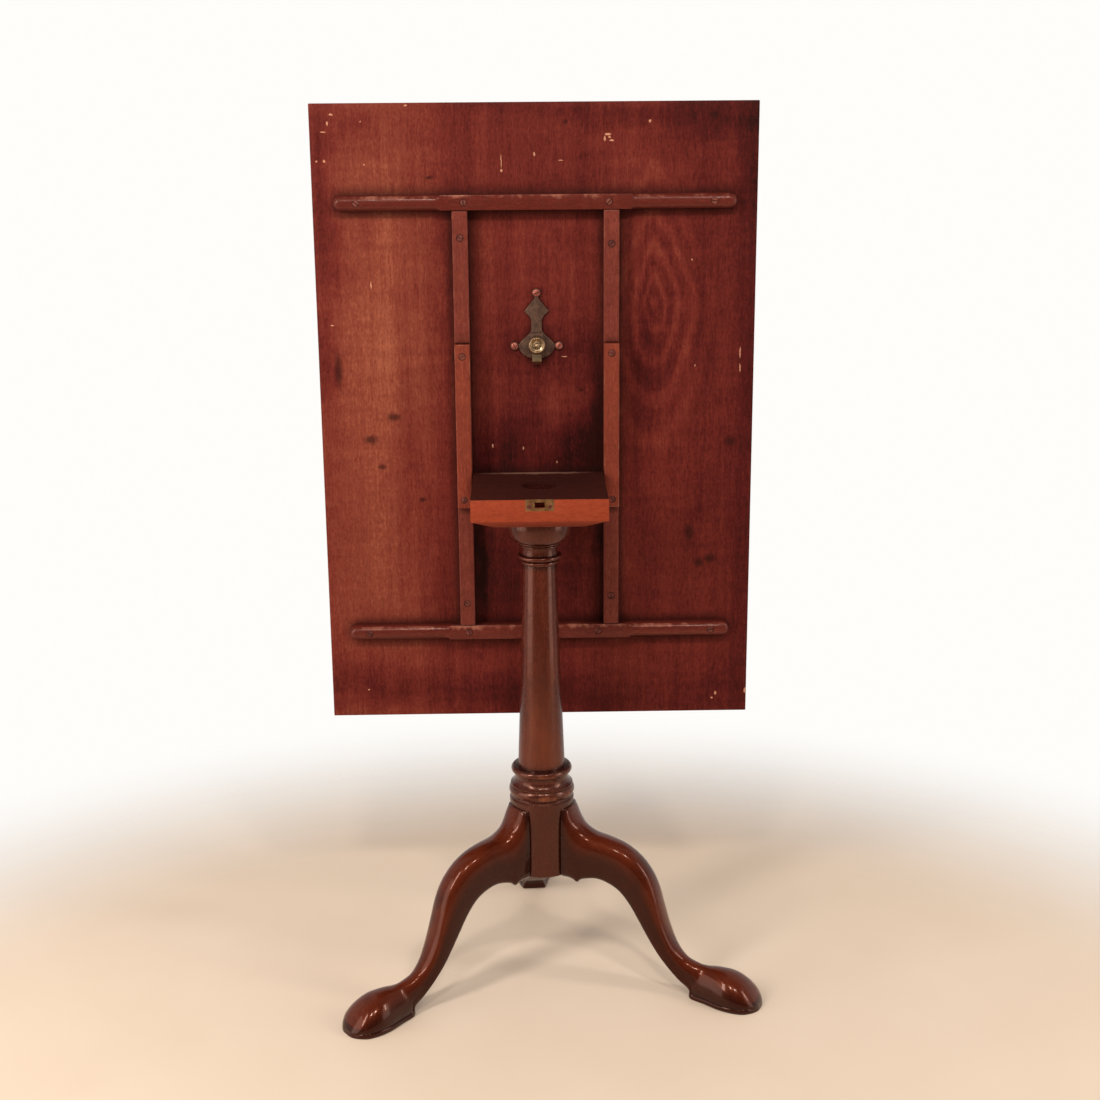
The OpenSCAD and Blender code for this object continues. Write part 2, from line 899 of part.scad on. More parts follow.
module latch_spring() {
    count = floor(spring_turns * spring_steps);
    points = [for (k = [0 : count], i = [0 : spring_sides - 1]) spring_point(k / count, i)];
    sides = [
        for (k = [0 : count - 1], i = [0 : spring_sides - 1])
            let (a = k * spring_sides + i, b = k * spring_sides + (i + 1) % spring_sides)
            each [[a, b, b + spring_sides], [a, b + spring_sides, a + spring_sides]]
    ];
    caps = [
        [for (i = [spring_sides - 1 : -1 : 0]) i],
        [for (i = [0 : spring_sides - 1]) count * spring_sides + i]
    ];
    color(spring_steel)
        on_underside()
            translate([0, bolt_end, bolt_lift + bolt_thickness / 2])
                polyhedron(points = points, faces = concat(sides, caps), convexity = 8);
}

column();
tenon_wedge();
pivot_block();
left_leg();
right_leg();
rear_leg();
strike_plate();
strike_screws();
top_board();
upper_cross_batten();
lower_cross_batten();
left_upper_bearer();
right_upper_bearer();
left_pivot_bearer();
right_pivot_bearer();
left_lower_bearer();
right_lower_bearer();
cross_batten_screws();
plain_bearer_screws();
pivot_bearer_screws();
latch_plate();
latch_case();
latch_spring();
latch_screws();
latch_bolt();
latch_knob();
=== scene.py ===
import json
import math

import bmesh
import bpy
from mathutils import Matrix, Vector, noise


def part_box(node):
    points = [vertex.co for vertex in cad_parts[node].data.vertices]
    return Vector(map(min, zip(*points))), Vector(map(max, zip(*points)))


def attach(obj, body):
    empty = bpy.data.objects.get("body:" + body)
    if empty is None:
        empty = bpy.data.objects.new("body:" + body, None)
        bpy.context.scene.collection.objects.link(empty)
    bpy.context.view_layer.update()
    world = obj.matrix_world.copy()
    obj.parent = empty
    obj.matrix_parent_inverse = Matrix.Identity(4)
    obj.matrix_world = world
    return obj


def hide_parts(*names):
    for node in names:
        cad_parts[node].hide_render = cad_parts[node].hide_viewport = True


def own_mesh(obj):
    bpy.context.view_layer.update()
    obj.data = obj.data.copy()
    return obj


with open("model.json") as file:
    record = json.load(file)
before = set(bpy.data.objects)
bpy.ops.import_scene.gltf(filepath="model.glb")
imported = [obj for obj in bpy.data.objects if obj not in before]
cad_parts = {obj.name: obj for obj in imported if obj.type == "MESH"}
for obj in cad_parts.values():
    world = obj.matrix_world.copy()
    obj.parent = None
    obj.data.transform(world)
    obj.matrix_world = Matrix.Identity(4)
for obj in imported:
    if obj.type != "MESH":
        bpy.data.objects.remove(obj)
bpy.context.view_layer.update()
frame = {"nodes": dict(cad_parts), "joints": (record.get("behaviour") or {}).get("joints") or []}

# A mahogany tilt top table with its top tipped up, so that the underside shows.

MM = 0.001

# ---- places, all from the frame ----

JOINTS = {j["name"]: j for j in frame["joints"]}
PIVOT = Vector(JOINTS["top_tilt"]["pos_m"])
BOARD_LOW, BOARD_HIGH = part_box("top_board")
BLOCK_LOW, BLOCK_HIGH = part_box("pivot_block")
COLUMN_LOW, COLUMN_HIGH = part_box("column")
WEDGE_LOW, WEDGE_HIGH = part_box("tenon_wedge")
AXIS_X = (WEDGE_LOW.x + WEDGE_HIGH.x) / 2
AXIS_Y = (WEDGE_LOW.y + WEDGE_HIGH.y) / 2
UNDERSIDE_Y = BOARD_LOW.y
BLOCK_BOTTOM = BLOCK_LOW.z
COLUMN_BOTTOM = COLUMN_LOW.z
TENON_TOP = COLUMN_HIGH.z
OUTWARD = Vector((0, -1, 0))   # the way that the underside faces at rest

# ---- sizes that the frame doesn't give ----

COLUMN_RADIUS = 44.3       # where the legs meet it, in mm
PINTLE_BORE = 9.06         # radius of the holes that the block's pintles turn in, in mm
WELD_REACH = 2e-6          # corners of a CAD mesh nearer than this, in metres, are one corner


# ---- small helpers for meshes ----

def placed(name, data):
    """A new object in the scene."""
    thing = bpy.data.objects.new(name, data)
    bpy.context.scene.collection.objects.link(thing)
    return thing


def meshed(name, bm):
    """A bmesh as a mesh, with what the bmesh holds freed."""
    mesh = bpy.data.meshes.new(name)
    bm.to_mesh(mesh)
    bm.free()
    return mesh


def rough(place, frequency, seed=0.0):
    """Smooth noise from about -1 to 1 at a place in metres."""
    return noise.noise(Vector(place) * frequency + Vector((seed, 1.7 * seed, 2.3 * seed)))


def spline(a, b, c, d, t):
    """A smooth curve through b and c, with a and d on either side."""
    return [
        0.5 * (2 * q + (r - p) * t + (2 * p - 5 * q + 4 * r - s) * t * t + (3 * q - p - 3 * r + s) * t ** 3)
        for p, q, r, s in zip(a, b, c, d)
    ]


def resample(points, steps):
    """Points on the smooth curve through some points, with a number of steps between each two."""
    last = len(points) - 1
    found = []
    for k in range(last):
        near = [points[min(max(k + i, 0), last)] for i in (-1, 0, 1, 2)]
        found += [spline(*near, j / steps) for j in range(steps)]
    return found + [list(points[-1])]


def arc(centre, radius, start, end, steps):
    """Points along an arc, in degrees."""
    angles = [math.radians(start + (end - start) * i / steps) for i in range(steps + 1)]
    return [(centre[0] + radius * math.cos(a), centre[1] + radius * math.sin(a)) for a in angles]


def loft(rings):
    """A closed skin over rings of equally many points."""
    bm = bmesh.new()
    rows = [[bm.verts.new(p) for p in ring] for ring in rings]
    count = len(rows[0])
    for low, high in zip(rows, rows[1:]):
        for i in range(count):
            bm.faces.new((low[i], low[(i + 1) % count], high[(i + 1) % count], high[i]))
    bm.faces.new(rows[0][::-1])
    bm.faces.new(rows[-1])
    return bm


def lathe(profile, segments, place, axis=(0, 0, 1)):
    """A turned solid. The profile is (radius, height) in mm along the axis from the place."""
    turn = Vector((0, 0, 1)).rotation_difference(Vector(axis)).to_matrix()
    bm = bmesh.new()
    rows = []
    for radius, height in profile:
        if radius < 1e-6:
            rows.append([bm.verts.new(Vector(place) + turn @ Vector((0, 0, height * MM)))])
            continue
        angles = [2 * math.pi * i / segments for i in range(segments)]
        ring = [Vector((radius * math.cos(a), radius * math.sin(a), height)) * MM for a in angles]
        rows.append([bm.verts.new(Vector(place) + turn @ p) for p in ring])
    for low, high in zip(rows, rows[1:]):
        for i in range(segments):
            j = (i + 1) % segments
            corners = [low[i % len(low)], low[j % len(low)], high[j % len(high)], high[i % len(high)]]
            unique = list(dict.fromkeys(corners))
            if len(unique) > 2:
                bm.faces.new(unique)
    bmesh.ops.recalc_face_normals(bm, faces=bm.faces)
    return bm


def plank(low, high, radius, spacing, wear=0.0, seed=0.0):
    """A sawn board with rounded arrises, which are dented and rubbed a little."""
    low, high = Vector(low), Vector(high)
    ease = radius * (1 - math.tan(math.radians(22.5)))
    lines = []
    for axis in range(3):
        inner = high[axis] - low[axis] - 2 * radius
        count = max(1, round(inner / spacing))
        middle = [low[axis] + radius + inner * i / count for i in range(count + 1)]
        lines.append([low[axis], low[axis] + ease, *middle, high[axis] - ease, high[axis]])
    bm = bmesh.new()
    rubbed = bm.verts.layers.float.new("rubbed")
    made = {}

    def vertex(key):
        if key not in made:
            p = Vector([lines[axis][i] for axis, i in enumerate(key)])
            core = Vector([min(max(p[a], low[a] + radius), high[a] - radius) for a in range(3)])
            out = (p - core).normalized()
            edge = min((1 - max(abs(x) for x in out)) / 0.293, 1.0)
            dent = max(0.0, rough(p, 60, seed) - 0.1) + 1.5 * max(0.0, rough(p, 190, seed + 5) - 0.45)
            made[key] = bm.verts.new(core + out * (radius - edge * wear * dent))
            made[key][rubbed] = edge * (0.55 + 0.9 * rough(p, 45, seed + 9))
        return made[key]

    for axis in range(3):
        u, v = (axis + 1) % 3, (axis + 2) % 3
        for end in (0, len(lines[axis]) - 1):
            for i in range(len(lines[u]) - 1):
                for j in range(len(lines[v]) - 1):
                    corners = []
                    for a, b in ((i, j), (i + 1, j), (i + 1, j + 1), (i, j + 1)):
                        key = [0, 0, 0]
                        key[axis], key[u], key[v] = end, a, b
                        corners.append(vertex(tuple(key)))
                    bm.faces.new(corners if end else corners[::-1])
    return bm


def reworked(node, width, shortest=0.0):
    """A CAD node's own shape, welded into one skin, with its outer arrises rounded over.

    The width is in mm, and arrises that are shorter than the shortest, in metres, stay sharp."""
    bm = bmesh.new()
    bm.from_mesh(frame["nodes"][node].data)
    bmesh.ops.remove_doubles(bm, verts=bm.verts, dist=WELD_REACH)
    bmesh.ops.dissolve_limit(bm, angle_limit=math.radians(0.5), verts=bm.verts, edges=bm.edges)
    arrises = [
        e for e in bm.edges
        if len(e.link_faces) == 2 and e.is_convex and e.calc_length() >= shortest
        and e.calc_face_angle() > math.radians(32)
    ]
    rounded = set()
    if width and arrises:
        rounded = set(bmesh.ops.bevel(
            bm, geom=arrises, offset=width * MM, segments=3, profile=0.5,
            affect="EDGES", clamp_overlap=True,
        )["faces"])
    rubbed = bm.verts.layers.float.new("rubbed")
    for vert in bm.verts:
        if rounded and all(face in rounded for face in vert.link_faces):
            vert[rubbed] = 0.5 + 0.9 * rough(vert.co, 60)
    bmesh.ops.triangulate(bm, faces=[f for f in bm.faces if len(f.verts) > 4])
    return bm


def eased(node, ending, width, body, slot, material, seed):
    """A piece with a CAD node's own shape and rounded arrises, their width in mm."""
    piece(node + ending, reworked(node, width), body, slot, material, node, "Z", seed)


def joined(parts):
    """Several bmeshes as one."""
    whole = bmesh.new()
    for part in parts:
        held = meshed("part", part)
        whole.from_mesh(held)
        bpy.data.meshes.remove(held)
    return whole


def piece(name, bm, body, slot, material, stands_for, grain="Z", seed=0.0, sharp=38):
    """Makes the Blender object, lays its grain, and has it ride on its body and stand for its node."""
    bmesh.ops.recalc_face_normals(bm, faces=bm.faces)
    for face in bm.faces:
        face.smooth = True
    for edge in bm.edges:
        edge.smooth = len(edge.link_faces) == 2 and edge.calc_face_angle(0) < math.radians(sharp)
    mesh = meshed(name, bm)
    lay_grain(mesh, grain, seed)
    thing = placed(name, mesh)
    for each in material if isinstance(material, list) else [material]:
        mesh.materials.append(each)
    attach(thing, body)
    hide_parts(stands_for)
    return thing


def lay_grain(mesh, grain, seed):
    """Stores each point's place in its own timber, whose Z runs along the grain."""
    if isinstance(grain, str):
        along = {"X": Vector((1, 0, 0)), "Y": Vector((0, 1, 0)), "Z": Vector((0, 0, 1))}[grain]
    else:
        along = Vector(grain).normalized()
    turn = along.rotation_difference(Vector((0, 0, 1))).to_matrix()
    shift = Vector((seed * 0.37, seed * 0.61, seed * 0.83))
    layer = mesh.attributes.new("timber", "FLOAT_VECTOR", "POINT")
    flat = [x for v in mesh.vertices for x in (turn @ v.co + shift)]
    layer.data.foreach_set("vector", flat)


def cut(thing, cutter):
    """Takes a bmesh's volume out of an object."""
    bmesh.ops.recalc_face_normals(cutter, faces=cutter.faces)
    tool = placed("cutter", meshed("cutter", cutter))
    modifier = thing.modifiers.new("cut", "BOOLEAN")
    modifier.operation = "DIFFERENCE"
    modifier.solver = "EXACT"
    modifier.object = tool
    bpy.context.view_layer.update()
    ready = thing.evaluated_get(bpy.context.evaluated_depsgraph_get())
    result = bpy.data.meshes.new_from_object(ready)
    thing.modifiers.clear()
    thing.data = result
    bpy.data.objects.remove(tool)
    for polygon in result.polygons:
        polygon.use_smooth = True
    result.set_sharp_from_angle(angle=math.radians(32))


def islands(node):
    """The low and high corners of each separate solid in a CAD node."""
    bm = bmesh.new()
    bm.from_mesh(frame["nodes"][node].data)
    bmesh.ops.remove_doubles(bm, verts=bm.verts, dist=WELD_REACH)
    left, found = set(bm.verts), []
    while left:
        group, edge = set(), [left.pop()]
        while edge:
            vert = edge.pop()
            group.add(vert)
            near = {e.other_vert(vert) for e in vert.link_edges} & left
            left -= near
            edge += near
        corners = [[f(v.co[a] for v in group) for a in range(3)] for f in (min, max)]
        found.append((Vector(corners[0]), Vector(corners[1])))
    bm.free()
    return sorted(found, key=lambda c: (round(c[0].z, 4), c[0].x))


# ---- materials ----

def paint(red, green, blue):
    """A colour seen as 0 to 255 on screen, as linear light."""
    def light(c):
        c /= 255
        return c / 12.92 if c <= 0.04045 else ((c + 0.055) / 1.055) ** 2.4
    return (light(red), light(green), light(blue), 1.0)


class Tree:
    """A node tree, whose nodes are made by short calls."""

    def __init__(self, tree):
        self.tree = tree

    def node(self, kind, inputs=None, **settings):
        made = self.tree.nodes.new(kind)
        for key, value in settings.items():
            setattr(made, key, value)
        for key, value in (inputs or {}).items():
            self.feed(made.inputs[key], value)
        return made

    def feed(self, socket, value):
        if isinstance(value, bpy.types.NodeSocket):
            self.tree.links.new(value, socket)
        else:
            socket.default_value = value


class Graph(Tree):
    """One material's nodes, made by short calls that hand back sockets."""

    def __init__(self, name):
        self.material = bpy.data.materials.new(name)
        self.material.use_nodes = True
        super().__init__(self.material.node_tree)
        self.shader = self.tree.nodes["Principled BSDF"]
        self.object_place = self.node("ShaderNodeTexCoord").outputs["Object"]

    def attribute(self, name, output):
        return self.node("ShaderNodeAttribute", attribute_name=name).outputs[output]

    def vector(self, operation, a, b=(0, 0, 0), c=(0, 0, 0)):
        return self.node("ShaderNodeVectorMath", {0: a, 1: b, 2: c}, operation=operation).outputs[0]

    def length(self, a):
        return self.node("ShaderNodeVectorMath", {0: a}, operation="LENGTH").outputs["Value"]

    def parts(self, vector):
        return self.node("ShaderNodeSeparateXYZ", {0: vector}).outputs

    def math(self, operation, a, b=0.0, clamp=False):
        return self.node("ShaderNodeMath", {0: a, 1: b}, operation=operation, use_clamp=clamp).outputs[0]

    def plus(self, a, b, clamp=False):
        return self.math("ADD", a, b, clamp)

    def minus(self, a, b):
        return self.math("SUBTRACT", a, b)

    def times(self, a, b):
        return self.math("MULTIPLY", a, b)

    def stretch(self, place, across, deep, along):
        return self.vector("MULTIPLY", place, (across, deep, along))

    def noise(self, place, scale, detail, roughness=0.5):
        made = self.node("ShaderNodeTexNoise", {
            "Vector": place, "Scale": scale, "Detail": detail, "Roughness": roughness})
        return made.outputs["Fac"]

    def band(self, value, low, high, start=0.0, end=1.0):
        made = self.node("ShaderNodeMapRange", {
            "Value": value, "From Min": low, "From Max": high, "To Min": start, "To Max": end,
        }, interpolation_type="SMOOTHSTEP")
        return made.outputs["Result"]

    def ramp(self, value, stops):
        made = self.node("ShaderNodeValToRGB", {"Fac": value})
        steps = made.color_ramp.elements
        while len(steps) < len(stops):
            steps.new(0.5)
        for step, (place, colour) in zip(steps, stops):
            step.position, step.color = place, colour
        return made.outputs["Color"]

    def mix(self, share, a, b):
        made = self.node("ShaderNodeMix", data_type="RGBA", clamp_factor=True)
        self.feed(made.inputs[0], share)
        self.feed(made.inputs[6], a)
        self.feed(made.inputs[7], b)
        return made.outputs[2]

    def ragged(self, frequency, reach):
        """The object's places pushed about by some mm of noise, so that marks have uneven edges."""
        made = self.node("ShaderNodeTexNoise", {
            "Vector": self.object_place, "Scale": frequency, "Detail": 3.0, "Roughness": 0.6})
        centred = self.vector("SUBTRACT", made.outputs["Color"], (0.5, 0.5, 0.5))
        return self.vector("MULTIPLY_ADD", centred, (4 * reach * MM,) * 3, self.object_place)

    def away(self, place, centre, reach):
        """How many times its own reach a place is from a centre, both in mm."""
        times = tuple(1000 / r for r in reach)
        shift = tuple(-c / r for c, r in zip(centre, reach))
        return self.length(self.vector("MULTIPLY_ADD", place, times, shift))

    def spots(self, place, marks, core):
        """1 in the core of any of several marks, 0 outside them. A mark is (centre, reach) in mm."""
        nearest = None
        for centre, reach in marks:
            this = self.away(place, centre, reach)
            nearest = this if nearest is None else self.math("MINIMUM", nearest, this)
        return self.band(nearest, core, 1.0, 1.0, 0.0)

    def zones(self, place, level, marks):
        """A level with soft ovals of lighter and darker added to it. A mark is (centre, reach, change)."""
        for centre, reach, change in marks:
            oval = self.band(self.away(place, centre, reach), 0.0, 1.0, change, 0.0)
            level = self.plus(level, oval)
        return level

    def bump(self, height, distance, strength=1.0):
        made = self.node("ShaderNodeBump", {"Height": height, "Distance": distance, "Strength": strength})
        self.feed(self.shader.inputs["Normal"], made.outputs["Normal"])

    def finish(self, **values):
        for name, value in values.items():
            self.feed(self.shader.inputs[name.replace("_", " ")], value)
        return self.material


def timber(name, colours, roughness, coat, coat_roughness=0.12, grain=1.0, pores=0.55, level=None,
           worn=None, worn_share=0.8, over=None, shine=0.3, tint=(1.0, 0.8, 0.7, 1.0),
           coat_ior=1.4, grime_and_shade=0.0):
    """Mahogany: broad colour streaks, short flecks, a fine mottle and open pores, under old polish.

    The colours go from dark to light, and the level says where between them the wood lies."""
    g = Graph(name)
    place = g.attribute("timber", "Vector")
    drift = g.noise(g.stretch(place, 9, 9, 1.1), 1, 2)
    sway = g.node("ShaderNodeCombineXYZ", {"X": g.times(drift, 0.03), "Y": g.times(drift, 0.02)})
    swayed = g.vector("ADD", place, sway.outputs[0])
    streak = g.noise(g.stretch(swayed, 150, 150, 5), 1, 3, 0.6)
    short = g.noise(g.stretch(swayed, 430, 430, 70), 1, 2, 0.6)
    tone = g.times(g.noise(g.stretch(swayed, 34, 34, 1.6), 1, 3, 0.55), 0.3)
    tone = g.plus(tone, g.times(streak, 0.2))
    tone = g.plus(tone, g.times(short, 0.28))
    tone = g.plus(tone, g.times(g.noise(g.stretch(swayed, 14, 14, 75), 1, 2), 0.16))
    mottle = g.noise(g.stretch(swayed, 330, 330, 210), 1, 3, 0.7)
    tone = g.plus(tone, g.times(mottle, 0.36))
    tone = g.times(g.minus(tone, 0.65), grain)
    blot = g.noise(g.stretch(place, 11, 11, 7), 1, 4, 0.6)
    tone = g.minus(tone, g.band(blot, 0.5, 0.8, 0.0, 0.18))
    tone = g.plus(tone, level(g) if level else 0.5)
    steps = len(colours) - 1
    colour = g.ramp(tone, [(i / steps, c) for i, c in enumerate(colours)])
    pore = g.band(g.noise(g.stretch(swayed, 1900, 1900, 130), 1, 1), 0.60, 0.70)
    colour = g.mix(g.times(pore, pores), colour, tuple(0.4 * c for c in colours[0][:3]) + (1.0,))
    if over:
        colour = over(g, colour)
    rub = g.attribute("rubbed", "Fac")
    if worn:
        scuff = g.minus(g.noise(place, 130, 3), 0.5)
        share = g.band(g.plus(rub, g.times(scuff, 1.6)), 0.35, 1.05)
        colour = g.mix(g.times(share, worn_share), colour, worn)
    # Painted shade, partly dirt: corners and the places where parts meet, found by ambient occlusion, are
    # darkened towards near black.
    if grime_and_shade:
        shade_in_corners = g.node("ShaderNodeAmbientOcclusion", {"Distance": 0.016}, samples=5).outputs["AO"]
        colour = g.mix(g.band(shade_in_corners, 0.96, 0.5, 0.0, grime_and_shade), colour, paint(24, 5, 4))
    g.feed(g.shader.inputs["Base Color"], colour)
    sheen = g.plus(g.times(g.minus(blot, 0.5), 0.22), roughness)
    sheen = g.plus(sheen, g.times(pore, 0.2))
    sheen = g.plus(sheen, g.times(g.minus(short, 0.5), 0.12), clamp=True)
    g.feed(g.shader.inputs["Roughness"], sheen)
    relief = g.minus(g.times(short, 0.35), pore)
    relief = g.plus(relief, g.times(streak, 0.6))
    g.bump(relief, 0.00012 if coat else 0.0002, 0.6)
    return g.finish(
        Coat_Weight=coat, Coat_Roughness=coat_roughness, Coat_IOR=coat_ior,
        Specular_IOR_Level=shine, Specular_Tint=tint)


# Some of these are painted shade: the shadows beside the bearers, and the dark behind the block, which is
# partly dirt.
# The underside's lighter and darker places: across and up, half width and half height in mm, change
LEVELS = (
    (-190, 930, 150, 300, 0.08), (0, 1020, 120, 110, 0.06), (-64, 700, 76, 110, -0.34),
    (60, 700, 70, 110, -0.34), (30, 790, 34, 60, 0.14), (-24, 750, 60, 90, -0.14),
    (80, 770, 24, 170, -0.3), (-60, 540, 70, 130, -0.3), (60, 540, 60, 130, -0.16),
    (0, 370, 200, 60, -0.25), (240, 1165, 190, 46, -0.17), (-300, 840, 46, 110, -0.3),
    (-250, 380, 170, 80, -0.2), (0, 1190, 300, 30, -0.1), (290, 560, 50, 330, -0.06),
    (150, 1095, 150, 46, 0.1), (-80, 560, 14, 110, -0.3), (83, 596, 13, 44, -0.3),
    (142, 850, 50, 150, -0.2), (-292, 1060, 38, 250, -0.3), (-235, 1150, 70, 60, -0.14),
    (283, 1090, 26, 120, -0.13), (230, 370, 90, 60, -0.16), (0, 860, 110, 70, -0.12),
    (-200, 380, 110, 50, -0.16), (110, 1168, 80, 26, -0.14), (120, 350, 90, 40, -0.12),
)
# Dark spots and pale chips on the underside: across, up, half width, half height, in mm. They stand
# where the photo shows them, as far as the camera tells.
STAINS = (
    (-228, 740, 14, 9), (-196, 771, 14, 8), (-269, 836, 8, 34), (210, 604, 9, 18), (224, 560, 10, 10),
    (239, 566, 11, 9), (265, 733, 12, 10), (-110, 852, 6, 20), (-214, 702, 9, 5), (-160, 655, 7, 5),
    (40, 1160, 5, 5), (60, 806, 6, 3), (235, 1168, 9, 5), (-140, 1090, 8, 4),
)
CHIPS = (
    (96, 1144, 5, 1.6), (92, 1138, 1.7, 4), (101, 1136, 3.6, 1.4), (98, 1140, 2, 2), (151, 1160, 2, 2.6),
    (-1, 1119, 1.5, 3.4), (-44.5, 1110, 0.8, 11), (-44.5, 1098, 2, 2.4), (-266, 1171, 3.4, 1.6),
    (-271, 1160, 1.4, 3.4), (-277, 1149, 4, 1.3), (-287, 1112, 2, 1.3), (-277, 1112, 1.8, 2),
    (-225, 1107, 1.2, 1.3), (-168, 1182, 2.8, 1.2), (-228, 1162, 1.0, 1.6), (251, 366, 2, 3.4),
    (246, 359, 2, 1.6), (276, 855, 0.9, 10), (276.5, 834, 1.0, 7), (215, 838, 1.0, 2.2),
    (-221, 950, 0.9, 6), (-275, 897, 3.2, 1.2), (37, 852, 5, 0.7), (209, 980, 1.2, 1.8), (293, 370, 1.6, 5),
    (-20, 726, 1.0, 2.6), (-62, 730, 1.0, 3.2), (-244, 378, 2, 1.2), (26, 706, 0.8, 2), (34, 1111, 4, 0.8),
)
# How light the underside is from its left edge to its right, partly its tone and partly painted light from
# the left: share of the width, level
ACROSS_LEVELS = (
    (0.0, 0.6), (0.1, 0.72), (0.19, 0.68), (0.29, 0.46), (0.5, 0.42), (0.75, 0.45), (0.9, 0.37),
    (1.0, 0.26),
)
FIGURE_CENTRE = (0.158, 0, 0.925)     # middle of the pointed ovals of grain, in metres


def underside_tone_and_light(g):
    """The underside is light at its left and darker at its right, partly its tone and partly painted light,
    and dark behind the block, partly dirt and partly painted shade.
    """
    across = g.parts(g.object_place)["X"]
    share = g.math("DIVIDE", g.minus(across, BOARD_LOW.x), BOARD_HIGH.x - BOARD_LOW.x)
    level = g.ramp(share, [(p, (v, v, v, 1.0)) for p, v in ACROSS_LEVELS])
    place = g.ragged(12, 14)
    y = UNDERSIDE_Y / MM
    level = g.zones(place, level, [((x, y, z), (w, 90, t), c) for x, z, w, t, c in LEVELS])
    rings, lines = figure(g)
    change = g.minus(g.times(rings, 0.17), g.times(lines, 0.05))
    return g.plus(level, change)


def underside_marks(g, colour):
    """Dark stains and pale chips on the underside."""
    y = UNDERSIDE_Y / MM
    place = g.ragged(240, 0.9)
    stains = g.spots(place, [((x, y, z), (w, 9, t)) for x, z, w, t in STAINS], 0.2)
    colour = g.mix(g.times(stains, 0.72), colour, paint(38, 8, 6))
    chips = g.spots(place, [((x, y, z), (w, 9, t)) for x, z, w, t in CHIPS], 0.6)
    return g.mix(g.times(chips, 0.85), colour, paint(200, 140, 108))


def figure(g):
    """Nested pointed ovals of flat-sawn grain at the underside's right, as light rings and dark lines."""
    away = g.vector("SUBTRACT", g.object_place, FIGURE_CENTRE)
    parts = g.parts(away)
    warp = g.noise(g.stretch(g.object_place, 13, 0, 5), 1, 3, 0.55)
    fine = g.noise(g.stretch(g.object_place, 110, 0, 9), 1, 2, 0.5)
    across = g.plus(parts["X"], g.times(g.minus(warp, 0.5), 0.045))
    across = g.plus(across, g.times(g.minus(fine, 0.5), 0.008))
    across = g.math("ABSOLUTE", across)
    up = g.math("MAXIMUM", parts["Z"], 0.0)
    across = g.plus(across, g.times(up, 0.16))
    squeezed = g.times(parts["Z"], 0.38)
    oval = g.node("ShaderNodeCombineXYZ", {"X": across, "Y": squeezed}).outputs[0]
    depth = g.length(oval)
    wave = g.math("SINE", g.times(g.math("POWER", depth, 0.75), 190.0))
    fade = g.times(g.band(depth, 0.11, 0.03), g.band(warp, 0.25, 0.6, 0.4, 1.0))
    return (
        g.times(g.band(wave, -0.3, 1.0), fade),
        g.times(g.band(wave, -0.6, -1.0), fade),
    )


def block_faces(g, colour):
    """Darker at the block's lower arris."""
    up = g.parts(g.object_place)["Z"]
    return g.mix(g.band(up, BLOCK_BOTTOM + 0.010, BLOCK_BOTTOM, 0.0, 0.5), colour, paint(80, 22, 10))


def seat_rear_highlight(g, colour):
    """Pale towards the rear of the block's dark seat, as a painted highlight."""
    place = g.ragged(60, 5)
    rear = g.away(place, (0, PIVOT.y / MM - 4, BLOCK_HIGH.z / MM), (90, 9, 30))
    return g.mix(g.band(rear, 0.3, 1.0, 0.5, 0.0), colour, paint(150, 112, 92))


def leg_polish_light_and_shade(g, colour):
    """Orange brown on the upper surfaces, partly rubbed polish and partly painted light from above, and
    dark in the hollows and near the floor as painted shade.
    """
    parts = g.parts(g.attribute("crown", "Vector"))
    crown = g.band(parts["X"], 0.45, 0.95)
    cloud = g.noise(g.stretch(g.object_place, 22, 22, 22), 1, 3, 0.6)
    share = g.times(crown, g.band(cloud, 0.25, 0.6, 0.35, 1.0))
    # Painted light: the upper surfaces are lightened towards an orange brown, partly rubbed polish.
    colour = g.mix(g.times(share, 0.6), colour, paint(96, 34, 13))
    # Painted shade: next to the column, along the shoulder and in the groove above the sole.
    return g.mix(g.times(parts["Y"], 0.85), colour, paint(22, 6, 4))


def column_polish_and_shade(g, colour):
    """Old polish faded to brown on the shaft, and left nearly black in the turned grooves, partly old
    polish and partly painted shade.
    """
    parts = g.parts(g.attribute("crown", "Vector"))
    patch = g.noise(g.stretch(g.object_place, 24, 24, 5), 1, 4, 0.6)
    share = g.times(g.band(patch, 0.4, 0.68), parts["X"])
    colour = g.mix(g.times(share, 0.4), colour, paint(118, 56, 32))
    # Painted shade, partly old polish: darkened towards near black in the grooves, on the drum and on the
    # tenon.
    return g.mix(g.times(parts["Y"], 0.85), colour, paint(18, 5, 4))


def metal(name, bright, dull, roughness, metallic=1.0, grime_and_shade=None, grime_share=0.4):
    """Old metal: patina in clouds, small scratches, bright where it is rubbed."""
    g = Graph(name)
    cloud = g.noise(g.object_place, 120, 4, 0.6)
    speck = g.noise(g.object_place, 1080, 2, 0.5)
    scratch = g.noise(g.stretch(g.object_place, 3200, 3200, 260), 1, 2)
    rub = g.attribute("rubbed", "Fac")
    shine = g.plus(g.band(cloud, 0.3, 0.75), g.times(rub, 0.8), clamp=True)
    colour = g.mix(shine, dull, bright)
    if grime_and_shade:
        colour = g.mix(g.times(g.band(speck, 0.52, 0.75), grime_share), colour, grime_and_shade)
        # Hollows, found by ambient occlusion, are darkened towards the same dark colour: partly dirt,
        # partly painted shade.
        hollow = g.node("ShaderNodeAmbientOcclusion", {"Distance": 0.003}, samples=4).outputs["AO"]
        colour = g.mix(g.band(hollow, 0.85, 0.45, 0.0, 0.75), colour, grime_and_shade)
    g.feed(g.shader.inputs["Base Color"], colour)
    finish = g.plus(g.times(g.minus(1.0, shine), 0.2), roughness)
    finish = g.plus(finish, g.times(scratch, 0.1), clamp=True)
    g.feed(g.shader.inputs["Roughness"], finish)
    pits = g.plus(g.times(cloud, 0.8), g.times(speck, 0.2))
    g.bump(pits, 0.00012, 0.4)
    return g.finish(Metallic=metallic)


